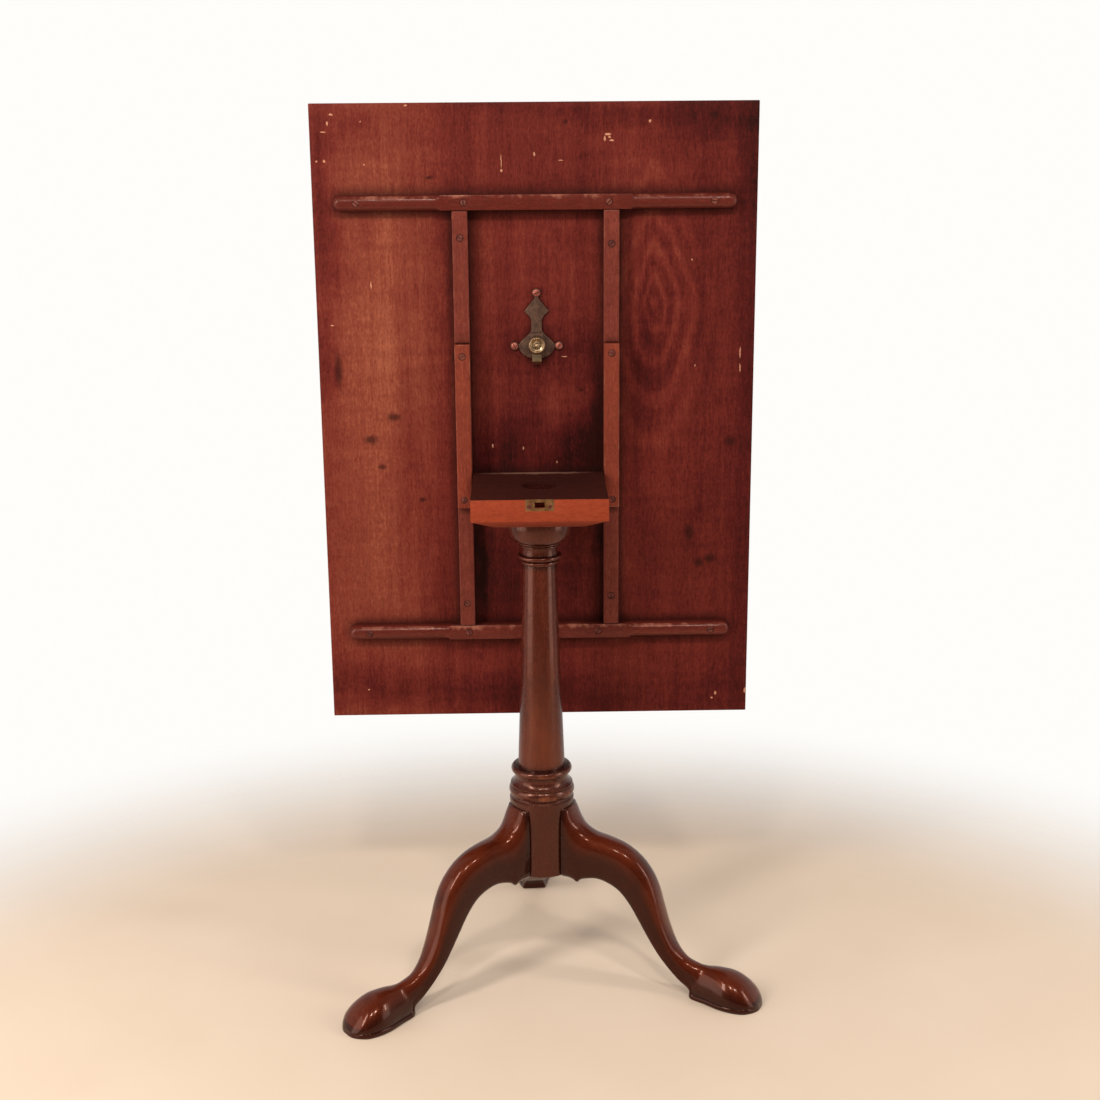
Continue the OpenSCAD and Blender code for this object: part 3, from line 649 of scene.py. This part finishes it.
PALE_WEAR = paint(186, 128, 98)
# The underside, the bearers, the battens and the pivot bearers are darkened in their corners: partly dirt,
# partly painted shade.
underside_wood = timber(
    "underside_wood",
    [paint(40, 6, 5), paint(76, 18, 16), paint(104, 36, 28), paint(126, 58, 42), paint(156, 86, 62)],
    0.55, 0.0, grain=1.25, pores=0.3, level=underside_tone_and_light, worn=PALE_WEAR, worn_share=0.4,
    over=underside_marks, shine=0.15, grime_and_shade=0.75)
show_wood = timber(
    "show_wood", [paint(70, 20, 10), paint(122, 46, 24), paint(168, 80, 42)], 0.36, 0.5, 0.22,
    worn=paint(150, 80, 50), worn_share=0.4)
bearer_wood = timber(
    "bearer_wood", [paint(64, 20, 17), paint(106, 43, 33), paint(146, 74, 58)], 0.5, 0.1, 0.35,
    grain=1.3, worn=paint(164, 98, 78), worn_share=0.6, shine=0.2, grime_and_shade=0.6)
# The battens' pale worn colour, along their top arrises, is partly wear and partly a painted highlight.
batten_wood = timber(
    "batten_wood", [paint(50, 14, 11), paint(90, 31, 23), paint(136, 64, 48)], 0.36, 0.2, 0.15,
    worn=paint(180, 116, 94), worn_share=0.5, tint=(1.0, 0.6, 0.5, 1.0), grime_and_shade=0.6)
pivot_wood = timber(
    "pivot_wood", [paint(82, 26, 17), paint(124, 52, 36), paint(166, 88, 62)], 0.55, 0.05, 0.3,
    grain=1.3, worn=PALE_WEAR, worn_share=0.55, shine=0.2, grime_and_shade=0.6)
block_wood = timber(
    "block_wood", [paint(104, 34, 18), paint(144, 57, 32), paint(176, 82, 49)], 0.55, 0.05, 0.3,
    grain=0.8, worn=paint(198, 130, 96), worn_share=0.7, over=block_faces, shine=0.2)
seat_wood = timber(
    "seat_wood", [paint(30, 9, 7), paint(52, 17, 12), paint(78, 31, 23)], 0.8, 0.0,
    worn=paint(146, 82, 58), worn_share=0.6, over=seat_rear_highlight, shine=0.1)
column_wood = timber(
    "column_wood", [paint(26, 6, 3), paint(62, 17, 9), paint(104, 39, 22)], 0.26, 0.4, 0.08,
    worn=paint(140, 76, 50), worn_share=0.5, over=column_polish_and_shade, shine=0.7, tint=(1.0, 0.46, 0.32, 1.0),
    coat_ior=1.25)
leg_wood = timber(
    "leg_wood", [paint(15, 2, 1), paint(36, 7, 2), paint(70, 18, 7)], 0.22, 0.8, 0.05,
    worn=paint(92, 34, 16), worn_share=0.4, over=leg_polish_light_and_shade, shine=0.35, tint=(1.0, 0.36, 0.22, 1.0),
    coat_ior=1.22)
dark_bronze = metal(
    "dark_bronze", paint(112, 82, 64), paint(76, 52, 42), 0.42, 0.6, paint(30, 18, 15))
old_brass = metal(
    "old_brass", paint(212, 182, 146), paint(136, 108, 78), 0.2, 1.0, paint(52, 36, 24))
strike_brass = metal(
    "strike_brass", paint(172, 128, 84), paint(112, 76, 46), 0.34, 0.9, paint(40, 28, 18))
screw_steel = metal(
    "screw_steel", paint(130, 66, 52), paint(82, 32, 26), 0.5, 0.4, paint(26, 8, 7), 0.5)
copper_screw = metal(
    "copper_screw", paint(196, 120, 104), paint(126, 60, 50), 0.36, 0.8, paint(54, 20, 18))
spring_steel = metal(
    "spring_steel", paint(190, 190, 194), paint(128, 126, 126), 0.3)


# ---- the top ----

UNPOLISHED_EDGE = 2.5      # how far the underside's bare wood reaches round the board's edge, in mm


def top_board():
    """One wide board, bare underneath and polished on its show face and edges."""
    bm = plank(BOARD_LOW, BOARD_HIGH, 1.1 * MM, 9 * MM, wear=0.55 * MM, seed=1.0)
    for face in bm.faces:
        is_polished = face.calc_center_median().y > BOARD_LOW.y + UNPOLISHED_EDGE * MM
        face.material_index = 1 if is_polished else 0
    piece("board", bm, "top", "top_wood", [underside_wood, show_wood], "top_board", "Z", 1.0)


def bearer(node, material, slot, radius, seed):
    """A straight bearer with its arrises rounded to a radius in mm."""
    low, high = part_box(node)
    bm = plank(low, high, radius * MM, 5 * MM, wear=0.5 * MM, seed=seed)
    return piece(node + "_worn", bm, "top", slot, material, node, "Z", seed)


BATTEN_SQUARE = 126        # half the stretch of a cross batten whose arrises are square, in mm
BATTEN_STOP = 7            # length over which the rounding starts
BATTEN_ARRIS = 1.3         # radius of its arrises in the middle, and of its back further out
BATTEN_BACK = 8.2


def cross_batten(node, seed):
    """A straight batten with square arrises in its middle and a rounded back out to its round ends."""
    low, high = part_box(node)
    centre_z = (low.z + high.z) / 2
    half_length = (high.x - low.x) / 2 / MM
    half_width = (high.z - low.z) / 2 / MM
    depth = (high.y - low.y) / MM
    stations = []
    x = -half_length + 0.02
    while x < half_length - 0.02:
        stations.append(x)
        from_end = half_length - abs(x)
        near_stop = abs(abs(x) - BATTEN_SQUARE) < 2 * BATTEN_STOP
        x += 0.35 if from_end < 2 else 1.0 if from_end < half_width else 1.2 if near_stop else 5.0
    stations.append(half_length - 0.02)
    rings = []
    for x in stations:
        from_end = min(half_length - abs(x), half_width)
        width = half_width * math.sqrt(max(1 - (1 - from_end / half_width) ** 2, 0.0001))
        drop = depth * (1 - 0.5 * (1 - width / half_width) ** 1.6)
        share = min(max((abs(x) - BATTEN_SQUARE) / BATTEN_STOP, 0.0), 1.0)
        share = math.sqrt(1 - (1 - share) ** 2)
        wanted = BATTEN_ARRIS + (BATTEN_BACK - BATTEN_ARRIS) * share
        round_off = min(wanted, width * 0.9, drop * 0.7)
        lean = 0.8 * share
        shoulder = (width - lean * 0.3, drop - round_off)
        side = [(width, 0.05), (width, (drop - round_off) * 0.5), shoulder]
        curve = arc((shoulder[0] - round_off, shoulder[1]), round_off, 0, 90, 6)
        half = side + curve[1:]
        outline = half + [(0.0, drop)] + [(-w, h) for w, h in reversed(half)]
        ring = []
        for w, h in outline:
            p = Vector((x * MM, high.y - h * MM, centre_z + w * MM))
            if h > 1:
                hollow = 0.35 * max(0.0, rough(p, 70, seed) - 0.15) + 0.12 * rough(p, 25, seed)
                p.y += max(hollow, 0.0) * MM
            ring.append(p)
        rings.append(ring)
    bm = loft(rings)
    # Pale along the top arris of the back: partly wear, partly a painted highlight.
    rubbed = bm.verts.layers.float.new("rubbed")
    for vert in bm.verts:
        in_middle = abs(vert.co.x) < (BATTEN_SQUARE + BATTEN_STOP) * MM
        near_edge = vert.co.z - centre_z > (half_width - (1.5 if in_middle else 5)) * MM
        is_back = high.y - vert.co.y > (depth - (1.5 if in_middle else 6)) * MM
        if near_edge and is_back:
            vert[rubbed] = 0.6 + 0.6 * rough(vert.co, 40, seed)
    return piece(node + "_worn", bm, "top", "bearer_wood", batten_wood, node, "X", seed)


SCREW_SINK = 0.35          # how far the screw heads lie below the wood, in mm
SCREW_HEAD = 4.5           # radius of a head
SLOT_WIDTH = 1.1


def screw_slot(face, turn, length, depth):
    """A bar that cuts the slot across a screw's head, with its sizes in mm."""
    bar = bmesh.new()
    bmesh.ops.create_cube(bar, size=1.0)
    for vert in bar.verts:
        local = Vector((vert.co.x * length, vert.co.y * depth, vert.co.z * SLOT_WIDTH)) * MM
        vert.co = face + turn @ local
    return bar


def wood_screws(node, things, seed):
    """Slotted countersunk screws at their CAD places, and the dished holes that they sit in."""
    screws, slots, holes = [], [], {}
    for number, (low, high) in enumerate(islands(node)):
        face = Vector(((low.x + high.x) / 2, low.y, (low.z + high.z) / 2))
        length = (high.y - low.y) / MM
        screws.append(lathe([
            (0, -SCREW_SINK), (SCREW_HEAD - 1.2, -SCREW_SINK), (SCREW_HEAD - 0.35, -SCREW_SINK - 0.12),
            (SCREW_HEAD, -SCREW_SINK - 0.5), (2.1, -3.0), (2.1, -length + 4), (0.3, -length + 0.2),
            (0, -length),
        ], 40, face, OUTWARD))
        turn = Matrix.Rotation(math.radians(47 * number + 20 + 13 * seed), 3, "Y")
        slots.append(screw_slot(face, turn, 12, 2.6))
        hole = lathe([
            (0, 1), (SCREW_HEAD + 0.75, 1), (SCREW_HEAD + 0.45, -0.15), (SCREW_HEAD + 0.12, -1.1),
            (0, -1.1),
        ], 40, face, OUTWARD)
        owner = min(things, key=lambda t: far_from_box(face, t))
        holes.setdefault(owner.name, []).append(hole)
    thing = piece(
        node + "_slotted", joined(screws), "top", "old_steel", screw_steel, node, "Z", seed)
    cut(thing, joined(slots))
    for owner in things:
        if owner.name in holes:
            cut(owner, joined(holes[owner.name]))


def far_from_box(point, thing):
    """How far a point is outside an object's box."""
    corners = [Vector(c) for c in thing.bound_box]
    low = Vector([min(c[a] for c in corners) for a in range(3)])
    high = Vector([max(c[a] for c in corners) for a in range(3)])
    return sum(max(low[a] - point[a], 0, point[a] - high[a]) for a in range(3))


def build_top():
    """The board, what is screwed to its underside, and the holes for the screws and the pintles."""
    top_board()
    upper = cross_batten("upper_cross_batten", 3.0)
    lower = cross_batten("lower_cross_batten", 4.0)
    plain = [
        bearer(name, bearer_wood, "bearer_wood", 1.3, 5.0 + i)
        for i, name in enumerate((
            "left_upper_bearer", "right_upper_bearer", "left_lower_bearer", "right_lower_bearer"))
    ]
    pivots = [
        bearer(name, pivot_wood, "pivot_wood", 1.6, 10.0 + i)
        for i, name in enumerate(("left_pivot_bearer", "right_pivot_bearer"))
    ]
    wood_screws("cross_batten_screws", [upper, lower], 1)
    wood_screws("plain_bearer_screws", plain, 2)
    wood_screws("pivot_bearer_screws", pivots, 3)
    for thing in pivots:
        centre = sum((Vector(c) for c in thing.bound_box), Vector()) / 8
        bore = lathe(
            [(0, -14), (PINTLE_BORE, -14), (PINTLE_BORE, 14), (0, 14)], 72,
            (centre.x, PIVOT.y, PIVOT.z), (1, 0, 0))
        cut(thing, bore)


# ---- the latch ----

def latch():
    """The cast plate and case, and the bolt, spring, knob and screws that they hold."""
    eased("latch_plate", "_cast", 0.6, "top", "bronze", dark_bronze, 20)
    eased("latch_case", "_cast", 1.1, "top", "bronze", dark_bronze, 21)
    eased("latch_bolt", "_filed", 0.5, "latch", "brass", old_brass, 22)
    spring = reworked("latch_spring", 0)
    coil = piece(
        "latch_spring_coil", spring, "top", "spring_wire", spring_steel, "latch_spring", "Z", 23,
        sharp=80)
    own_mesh(coil)
    latch_knob()
    latch_screws()


def latch_knob():
    """A turned knob: a rounded rim, a hollow, and a domed button in its middle."""
    low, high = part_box("latch_knob")
    radius = (high.x - low.x) / 2 / MM
    depth = (high.y - low.y) / MM
    centre = Vector(((low.x + high.x) / 2, high.y, (low.z + high.z) / 2))
    front = depth - 1.3
    back = front - 6
    profile = (
        [(0, 0), (2.6, 0), (3, 0.4), (3, back)]
        + [(radius - 2.2, back)] + arc((radius - 1.9, back + 1.9), 1.9, -90, 0, 5)
        + arc((radius - 0.9, front - 2.4), 0.9, 0, 60, 3)
        + arc((radius - 2.0, front - 1.1), 1.1, 30, 160, 8)
        + resample([(radius - 3.6, front - 1.5), (radius - 5.2, front - 2.5), (5.2, front - 2.6)], 4)
        + [(4.9, front - 2.2)] + arc((3.7, front - 1.6), 1.0, 10, 80, 5)
        + [(3.3, front - 0.9), (3.0, front - 0.2)]
        + arc((0, front - 2.05), 3.35, 62, 90, 8)[:-1] + [(0, depth)]
    )
    knob = lathe(profile, 96, centre, OUTWARD)
    piece("latch_knob_turned", knob, "latch", "brass", old_brass, "latch_knob", "Z", 24, sharp=60)


def latch_screws():
    """Three domed screws with wide slots."""
    screws, slots = [], []
    for number, (low, high) in enumerate(islands("latch_screws")):
        radius = (high.x - low.x) / 2 / MM
        length = (high.y - low.y) / MM
        centre = Vector(((low.x + high.x) / 2, high.y, (low.z + high.z) / 2))
        seat = length - 2.2
        profile = (
            [(0, 0), (1.7, 0.2), (1.7, seat), (radius - 0.5, seat)]
            + [(radius * math.cos(math.radians(a)), seat + 0.15 + 2.05 * math.sin(math.radians(a)))
               for a in range(0, 90, 9)]
            + [(0, length)]
        )
        screws.append(lathe(profile, 48, centre, OUTWARD))
        turn = Matrix.Rotation(math.radians(60 + 50 * number), 3, "Y")
        slots.append(screw_slot(centre + OUTWARD * length * MM, turn, 14, 2.2))
    thing = piece(
        "latch_screws_domed", joined(screws), "top", "old_steel", copper_screw, "latch_screws", "Z", 25)
    cut(thing, joined(slots))


# ---- the base ----

# Heights of the grooves between the column's rings, in mm
GROOVES = (621.0, 617.0, 613.4, 602.8, 595.8, 588.6, 301.3, 289.5, 279.5, 275.4, 257.8)
SHAFT_TOP = 588.5
SHAFT_LENGTH = 287
DRUM_TOP = 254             # the plain drum that holds the legs


def column_profile():
    """The column's outline from its tenon down, as (radius, height) in mm."""
    bottom = COLUMN_BOTTOM / MM
    top = TENON_TOP / MM
    shoulder = BLOCK_BOTTOM / MM - 0.05
    bowl = [
        (34.5 + 10 * math.cos(math.radians(a)), 648 - 26 * math.sin(math.radians(a)))
        for a in range(0, 91, 5)
    ]
    shaft = [
        (23.2 + 9 * (0.75 * t + 0.25 * t * t), SHAFT_TOP - SHAFT_LENGTH * t)
        for t in (i / 40 for i in range(41))
    ]
    waist = [(37.9, 290.4), (37.0, 287.4), (36.8, 284.6), (37.6, 281.6), (39.6, 278.6), (42.4, 276.2)]
    drum = [
        (COLUMN_RADIUS, DRUM_TOP - (DRUM_TOP - bottom - 0.8) * i / 12) for i in range(13)
    ]
    return (
        [(0, top), (23.4, top), (24, top - 0.6), (24, shoulder)]
        + [(44.1, shoulder), (44.5, shoulder - 0.5)] + bowl
        + [(34.2, 621.7), (30.4, 621.2), (29.6, 620.4)]
        + arc((28, 618.6), 1.6, 80, -80, 10) + arc((26.4, 615), 1.3, 70, -80, 8)
        + resample([(24.9, 613.2), (24.55, 608), (24.9, 602.9)], 6)
        + arc((27, 599.4), 3, 85, -85, 14) + arc((23.6, 592), 2.8, 75, -70, 12) + shaft
        + [(33.4, 301.3), (39.0, 301.1)] + arc((36.6, 296.4), 5.2, 62, -75, 14)
        + resample(waist, 4)
        + [(42.9, 275.7), (42.9, 274.2)] + arc((35.9, 266.6), 9.2, 54, -50, 16)
        + [(42.1, 258.4), (42.1, 257.2), (43.6, 255.6), (COLUMN_RADIUS, 255.0)] + drum
        + [(COLUMN_RADIUS - 0.7, bottom), (0, bottom)]
    )


def column():
    """The turned column, with its rings, hollows and the tenon that comes up through the block."""
    bm = lathe(column_profile(), 144, (AXIS_X, AXIS_Y, 0))
    crown = bm.verts.layers.float_vector.new("crown")
    rubbed = bm.verts.layers.float.new("rubbed")
    for vert in bm.verts:
        z = vert.co.z / MM
        radius = math.hypot(vert.co.x - AXIS_X, vert.co.y - AXIS_Y) / MM
        # Painted shade, partly old polish: the crown's second value darkens the grooves fully, and the
        # drum, the hollow between the lower rings and the tenon in part.
        groove = max(max(0.0, 1 - abs(z - g) / 1.6) for g in GROOVES)
        if z < 256:
            groove = max(groove, 0.55)
        elif 259 < z < 300:
            groove = max(groove, 0.35)
        on_shaft = 303 < z < SHAFT_TOP - 0.5
        vert[crown] = Vector((1.0 if on_shaft else 0.35, groove, 0))
        on_ring = 294 < z < 299 or 262 < z < 271 or 597.5 < z < 601
        vert[rubbed] = 0.55 + 0.8 * rough(vert.co, 60, 31) if on_ring and radius > 29 else 0.0
        if z > BLOCK_BOTTOM / MM:
            vert[crown] = Vector((0, 0.75, 0))
    piece("column_turned", bm, "base", "base_wood", column_wood, "column", "Z", 31.0, sharp=30)


# Each station of a leg, in mm from the column's axis and above the floor: the top line's reach
# and height, the bottom line's reach and height, half the width, and how far the section is a
# foot. All but the first two are part.scad's. They were fitted to the photo.
LEG_STATIONS = (
    (40, 263, 40, 148.3, 25.5, 0), (43, 254, 45, 148.1, 25.5, 0),
    (46.5, 247, 50, 147.9, 25.4, 0), (53, 232.5, 56.5, 146, 24.8, 0),
    (62, 221, 62, 142.8, 24, 0), (78, 212.2, 69, 148.2, 22.8, 0),
    (99.5, 208, 89, 152.3, 21.4, 0), (122.5, 201.5, 107.3, 148.4, 20.7, 0),
    (143.5, 189, 123.5, 139.3, 20.2, 0), (161, 170.3, 138.6, 122.3, 20, 0.05),
    (172.3, 148, 152.6, 100.2, 19.9, 0.1), (180.5, 120.6, 166.2, 77.8, 19.5, 0.2),
    (189.2, 92.2, 180, 57.2, 18.8, 0.3), (200.2, 68.2, 195, 37.9, 16.6, 0.4),
    (215, 52.5, 209.9, 22.1, 14.6, 0.6), (232.3, 46, 224.8, 11.2, 15.2, 0.8),
    (245.5, 44.6, 227.5, 0, 17.8, 1), (261.7, 45.6, 250.4, 0, 24.6, 1),
    (280.3, 43.5, 272, 0, 31.2, 1), (295.8, 36.4, 291, 0, 32.8, 1),
    (308.3, 25.8, 307, 0, 29.6, 1), (317.6, 13.6, 317, 0, 20.8, 1),
    (321.5, 6.4, 321.8, 0, 12.6, 1),
)
# Half a leg's section, from below: share of the half width, share of the height
LEG_SECTION = (
    (0, 0), (0.6, 0), (0.86, 0.008), (0.96, 0.035), (0.995, 0.1), (1.0, 0.3), (1.0, 0.52), (0.985, 0.64),
    (0.95, 0.75), (0.86, 0.86), (0.7, 0.94), (0.46, 0.983), (0.2, 0.998), (0, 1),
)
SOLE_HEIGHT = 6.5          # the foot stands on a thin sole, with a groove above it
LEG_SHOULDER = 247.6       # a leg's top is cut off level here
DOVETAIL_ROOT = 27         # reach of the dovetail's wide end
DOVETAIL_WIDE = 11         # half its width there, and where it leaves the column
DOVETAIL_NARROW = 7.6


def foot_section(width, height):
    """Half of a foot's section: a flat sole, a groove, and a domed back."""
    low = min(1.0, height / 20)
    sole = SOLE_HEIGHT * low
    eased = width - 0.9 * low
    edge = [(0, 0), (width * 0.7, 0), (eased, 0), (width, 0.9 * low), (width, sole * 0.8)]
    groove = [(width - 0.5 * low, sole), (width - 1.5 * low, sole + 0.5 * low)]
    base = sole + 1.6 * low
    angles = [math.radians(a) for a in (0, 14, 30, 46, 62, 76, 90)]
    dome = [
        (eased * math.cos(a) ** 0.82, base + (height - base) * math.sin(a) ** 0.95) for a in angles
    ]
    return edge + groove + dome


def leg_ring(reach_top, z_top, reach_low, z_low, width, foot):
    """A leg's section at one station, as (reach, across, height, share of the section's height)."""
    height = max(z_top - z_low, 1.0)
    plain = [(x * width, z * height) for x, z in LEG_SECTION]
    foot_part = foot_section(width, height)
    share = min(max(foot, 0.0), 1.0) ** 1.5
    half = [
        (a[0] + (b[0] - a[0]) * share, a[1] + (b[1] - a[1]) * share)
        for a, b in zip(plain, foot_part)
    ]
    lean = (reach_top - reach_low) / height
    slim = 1 - 0.02 * share
    place = [
        (reach_low + lean * z, x * slim, min(max(z_low + z, 0.0), LEG_SHOULDER), z / height)
        for x, z in half
    ]
    return place + [(r, -x, z, h) for r, x, z, h in reversed(place[1:-1])]


def leg(node, angle):
    """A cabriole leg with a pad foot, and the dovetail that holds it in the column."""
    turn = Matrix.Rotation(angle, 3, "Z")
    centre = Vector((AXIS_X, AXIS_Y, 0))
    rows = [leg_ring(*s) for s in resample(LEG_STATIONS, 5)]
    rings = [[centre + turn @ (Vector((r, x, z)) * MM) for r, x, z, _ in row] for row in rows]
    tip = [
        centre + turn @ (Vector((r + 1.2 * (1 - h), x * 0.55, z * 0.9)) * MM)
        for r, x, z, h in rows[-1]
    ]
    bm = loft(rings + [tip])
    bm.verts.ensure_lookup_table()
    crown = bm.verts.layers.float_vector.new("crown")
    rubbed = bm.verts.layers.float.new("rubbed")
    count = len(rows[0])
    for number, vert in enumerate(bm.verts):
        row, place = divmod(number, count)
        r, _, z, h = rows[min(row, len(rows) - 1)][place]
        # Painted light and shade: the crown's first value, the height in the section, lightens the upper
        # surfaces; its second darkens the leg next to the column, the groove above the sole and a line at
        # the shoulder.
        near_root = max(0.0, 1 - (r - COLUMN_RADIUS) / 4)
        sole_line = max(0.0, 1 - abs(z - SOLE_HEIGHT - 0.6) / 1.6) if r > 226 else 0.0
        shoulder = 1.0 if z > LEG_SHOULDER - 0.4 else 0.0
        vert[crown] = Vector((h if z > 12 else 0.0, min(1.0, 0.7 * near_root + sole_line + shoulder), 0))
        is_arris = 0.76 < h < 0.93 or h < 0.06
        vert[rubbed] = (0.35 + 0.7 * rough(vert.co, 40, angle)) if is_arris and r > 60 else 0.0
    grain = turn @ Vector((0.8, 0, -0.6))
    piece(
        node + "_carved", joined([bm, dovetail(centre, turn)]), "base", "base_wood", leg_wood, node,
        grain, 41 + angle, sharp=50)


def dovetail(centre, turn):
    """The tongue on a leg's end, wider inside the column than where it leaves it."""
    tongue = bmesh.new()
    outline = [
        (DOVETAIL_ROOT, -DOVETAIL_WIDE), (DOVETAIL_ROOT, DOVETAIL_WIDE),
        (COLUMN_RADIUS + 0.5, DOVETAIL_NARROW), (COLUMN_RADIUS + 0.5, -DOVETAIL_NARROW),
    ]
    levels = [COLUMN_BOTTOM / MM - 0.25, COLUMN_BOTTOM / MM + 60]
    low, high = [
        [tongue.verts.new(centre + turn @ (Vector((r, x, z)) * MM)) for r, x in outline]
        for z in levels
    ]
    tongue.faces.new(low[::-1])
    tongue.faces.new(high)
    for i in range(4):
        j = (i + 1) % 4
        tongue.faces.new((low[i], low[j], high[j], high[i]))
    return tongue


def build_base():
    """The column, its three legs, the pivot block, and the wedge, strike plate and screws in it."""
    column()
    for node in ("left_leg", "right_leg", "rear_leg"):
        points = [v.co for v in frame["nodes"][node].data.vertices]
        toe = max(points, key=lambda p: math.hypot(p.x - AXIS_X, p.y - AXIS_Y))
        leg(node, math.atan2(toe.y - AXIS_Y, toe.x - AXIS_X))
    block = reworked("pivot_block", 1.5, shortest=12 * MM)
    for face in block.faces:
        middle = face.calc_center_median()
        in_hole = math.hypot(middle.x - AXIS_X, middle.y - AXIS_Y) < 26 * MM
        face.material_index = 1 if in_hole or middle.z > BLOCK_HIGH.z - 0.6 * MM else 0
    piece(
        "pivot_block_worn", block, "base", "block_wood", [block_wood, seat_wood], "pivot_block", "X",
        51.0, sharp=32)
    eased("tenon_wedge", "_split", 0.2, "base", "pivot_wood", pivot_wood, 52.0)
    eased("strike_plate", "_filed", 0.25, "base", "brass", strike_brass, 53.0)
    eased("strike_screws", "_slotted", 0, "base", "old_steel", screw_steel, 54.0)


# ---- floor, light and camera ----

FLOOR_REACH = 3.2          # in metres
FRONT_FILL = 0.16          # brightness of the surroundings in front of the table and behind it
BACK_FILL = 0.6
CAMERA_PLACE = Vector((-0.02286, -2.17915, 1.16246))
CAMERA_YAW = 0.998         # degrees to the right of straight ahead
CAMERA_PITCH = 14.702      # degrees down
CAMERA_ROLL = -0.452
LENS = 53.655              # mm, on a 36 mm sensor


def floor():
    """A plain pale floor that fades out into the background."""
    bm = bmesh.new()
    bmesh.ops.create_circle(bm, cap_ends=True, radius=FLOOR_REACH, segments=96)
    thing = placed("floor", meshed("floor", bm))
    g = Graph("floor_pale")
    away = g.length(g.vector("ADD", g.object_place, (0, 0.55, 0)))
    cloud = g.noise(g.object_place, 5, 3)
    g.feed(g.shader.inputs["Base Color"], g.mix(cloud, paint(218, 196, 174), paint(226, 206, 186)))
    g.finish(Roughness=0.6)
    clear = g.node("ShaderNodeBsdfTransparent")
    blend = g.node("ShaderNodeMixShader", {
        0: g.band(away, 0.85, 1.5), 1: g.shader.outputs[0], 2: clear.outputs[0]})
    out = next(n for n in g.tree.nodes if n.type == "OUTPUT_MATERIAL")
    g.feed(out.inputs["Surface"], blend.outputs[0])
    thing.data.materials.append(g.material)


def softbox(name, azimuth, elevation, distance, size, power, colour):
    """An area light that looks at the middle of the table."""
    aim = Vector((0, 0, 0.62))
    a, e = math.radians(azimuth), math.radians(elevation)
    data = bpy.data.lights.new(name, "AREA")
    data.shape = "RECTANGLE"
    data.size, data.size_y = size
    data.energy = power
    data.color = colour
    lamp = placed(name, data)
    out = Vector((math.sin(a) * math.cos(e), -math.cos(a) * math.cos(e), math.sin(e)))
    lamp.visible_camera = False
    lamp.location = aim + out * distance
    lamp.rotation_mode = "QUATERNION"
    lamp.rotation_quaternion = (-out).to_track_quat("-Z", "Y")


def light():
    """Two tall windows, two ceiling lamps, a pale wall at each side, and soft surroundings."""
    softbox("window_left", -47, 30, 2.8, (0.45, 1.5), 44, (1.0, 0.95, 0.88))
    softbox("window_right", 72, 24, 3.0, (0.3, 1.3), 18, (1.0, 0.96, 0.92))
    softbox("lamp_middle", -8, 46, 2.6, (0.24, 0.24), 16, (1.0, 0.95, 0.88))
    softbox("lamp_right", 20, 46, 2.6, (0.24, 0.24), 15, (1.0, 0.95, 0.88))
    softbox("wall_left", -64, 0, 1.6, (1.0, 1.22), 10, (1.0, 0.93, 0.86))
    softbox("wall_right", 66, 0, 1.6, (0.66, 1.22), 6, (1.0, 0.93, 0.86))
    world = bpy.data.worlds.new("studio")
    bpy.context.scene.world = world
    world.use_nodes = True
    sky = Tree(world.node_tree)
    seen = sky.node("ShaderNodeBackground", {"Color": (1.0, 0.985, 0.96, 1.0), "Strength": 1.0})
    way = sky.node("ShaderNodeSeparateXYZ", {0: sky.node("ShaderNodeTexCoord").outputs["Generated"]})
    behind = sky.node("ShaderNodeMapRange", {
        "Value": way.outputs["Y"], "From Min": -0.25, "From Max": 0.35,
        "To Min": FRONT_FILL, "To Max": BACK_FILL})
    fill = sky.node("ShaderNodeBackground", {
        "Color": (1.0, 0.95, 0.9, 1.0), "Strength": behind.outputs["Result"]})
    path = sky.node("ShaderNodeLightPath")
    choose = sky.node("ShaderNodeMixShader", {
        0: path.outputs["Is Camera Ray"], 1: fill.outputs[0], 2: seen.outputs[0]})
    sky.feed(sky.tree.nodes["World Output"].inputs["Surface"], choose.outputs[0])


def camera():
    """The camera where it was fitted to the table in the photo."""
    yaw, pitch, roll = (math.radians(a) for a in (CAMERA_YAW, CAMERA_PITCH, CAMERA_ROLL))
    forward = Vector((math.sin(yaw) * math.cos(pitch), math.cos(yaw) * math.cos(pitch), -math.sin(pitch)))
    right = Vector((math.cos(yaw), -math.sin(yaw), 0))
    up = right.cross(forward)
    turned_right = math.cos(roll) * right + math.sin(roll) * up
    turned_up = -math.sin(roll) * right + math.cos(roll) * up
    data = bpy.data.cameras.new("camera")
    data.lens = LENS
    data.sensor_width = 36
    thing = placed("camera", data)
    basis = Matrix((turned_right, turned_up, -forward)).transposed().to_4x4()
    thing.matrix_world = Matrix.Translation(CAMERA_PLACE) @ basis
    bpy.context.scene.camera = thing


camera()
light()
floor()
build_top()
latch()
build_base()
bpy.context.scene.view_settings.view_transform = "Standard"
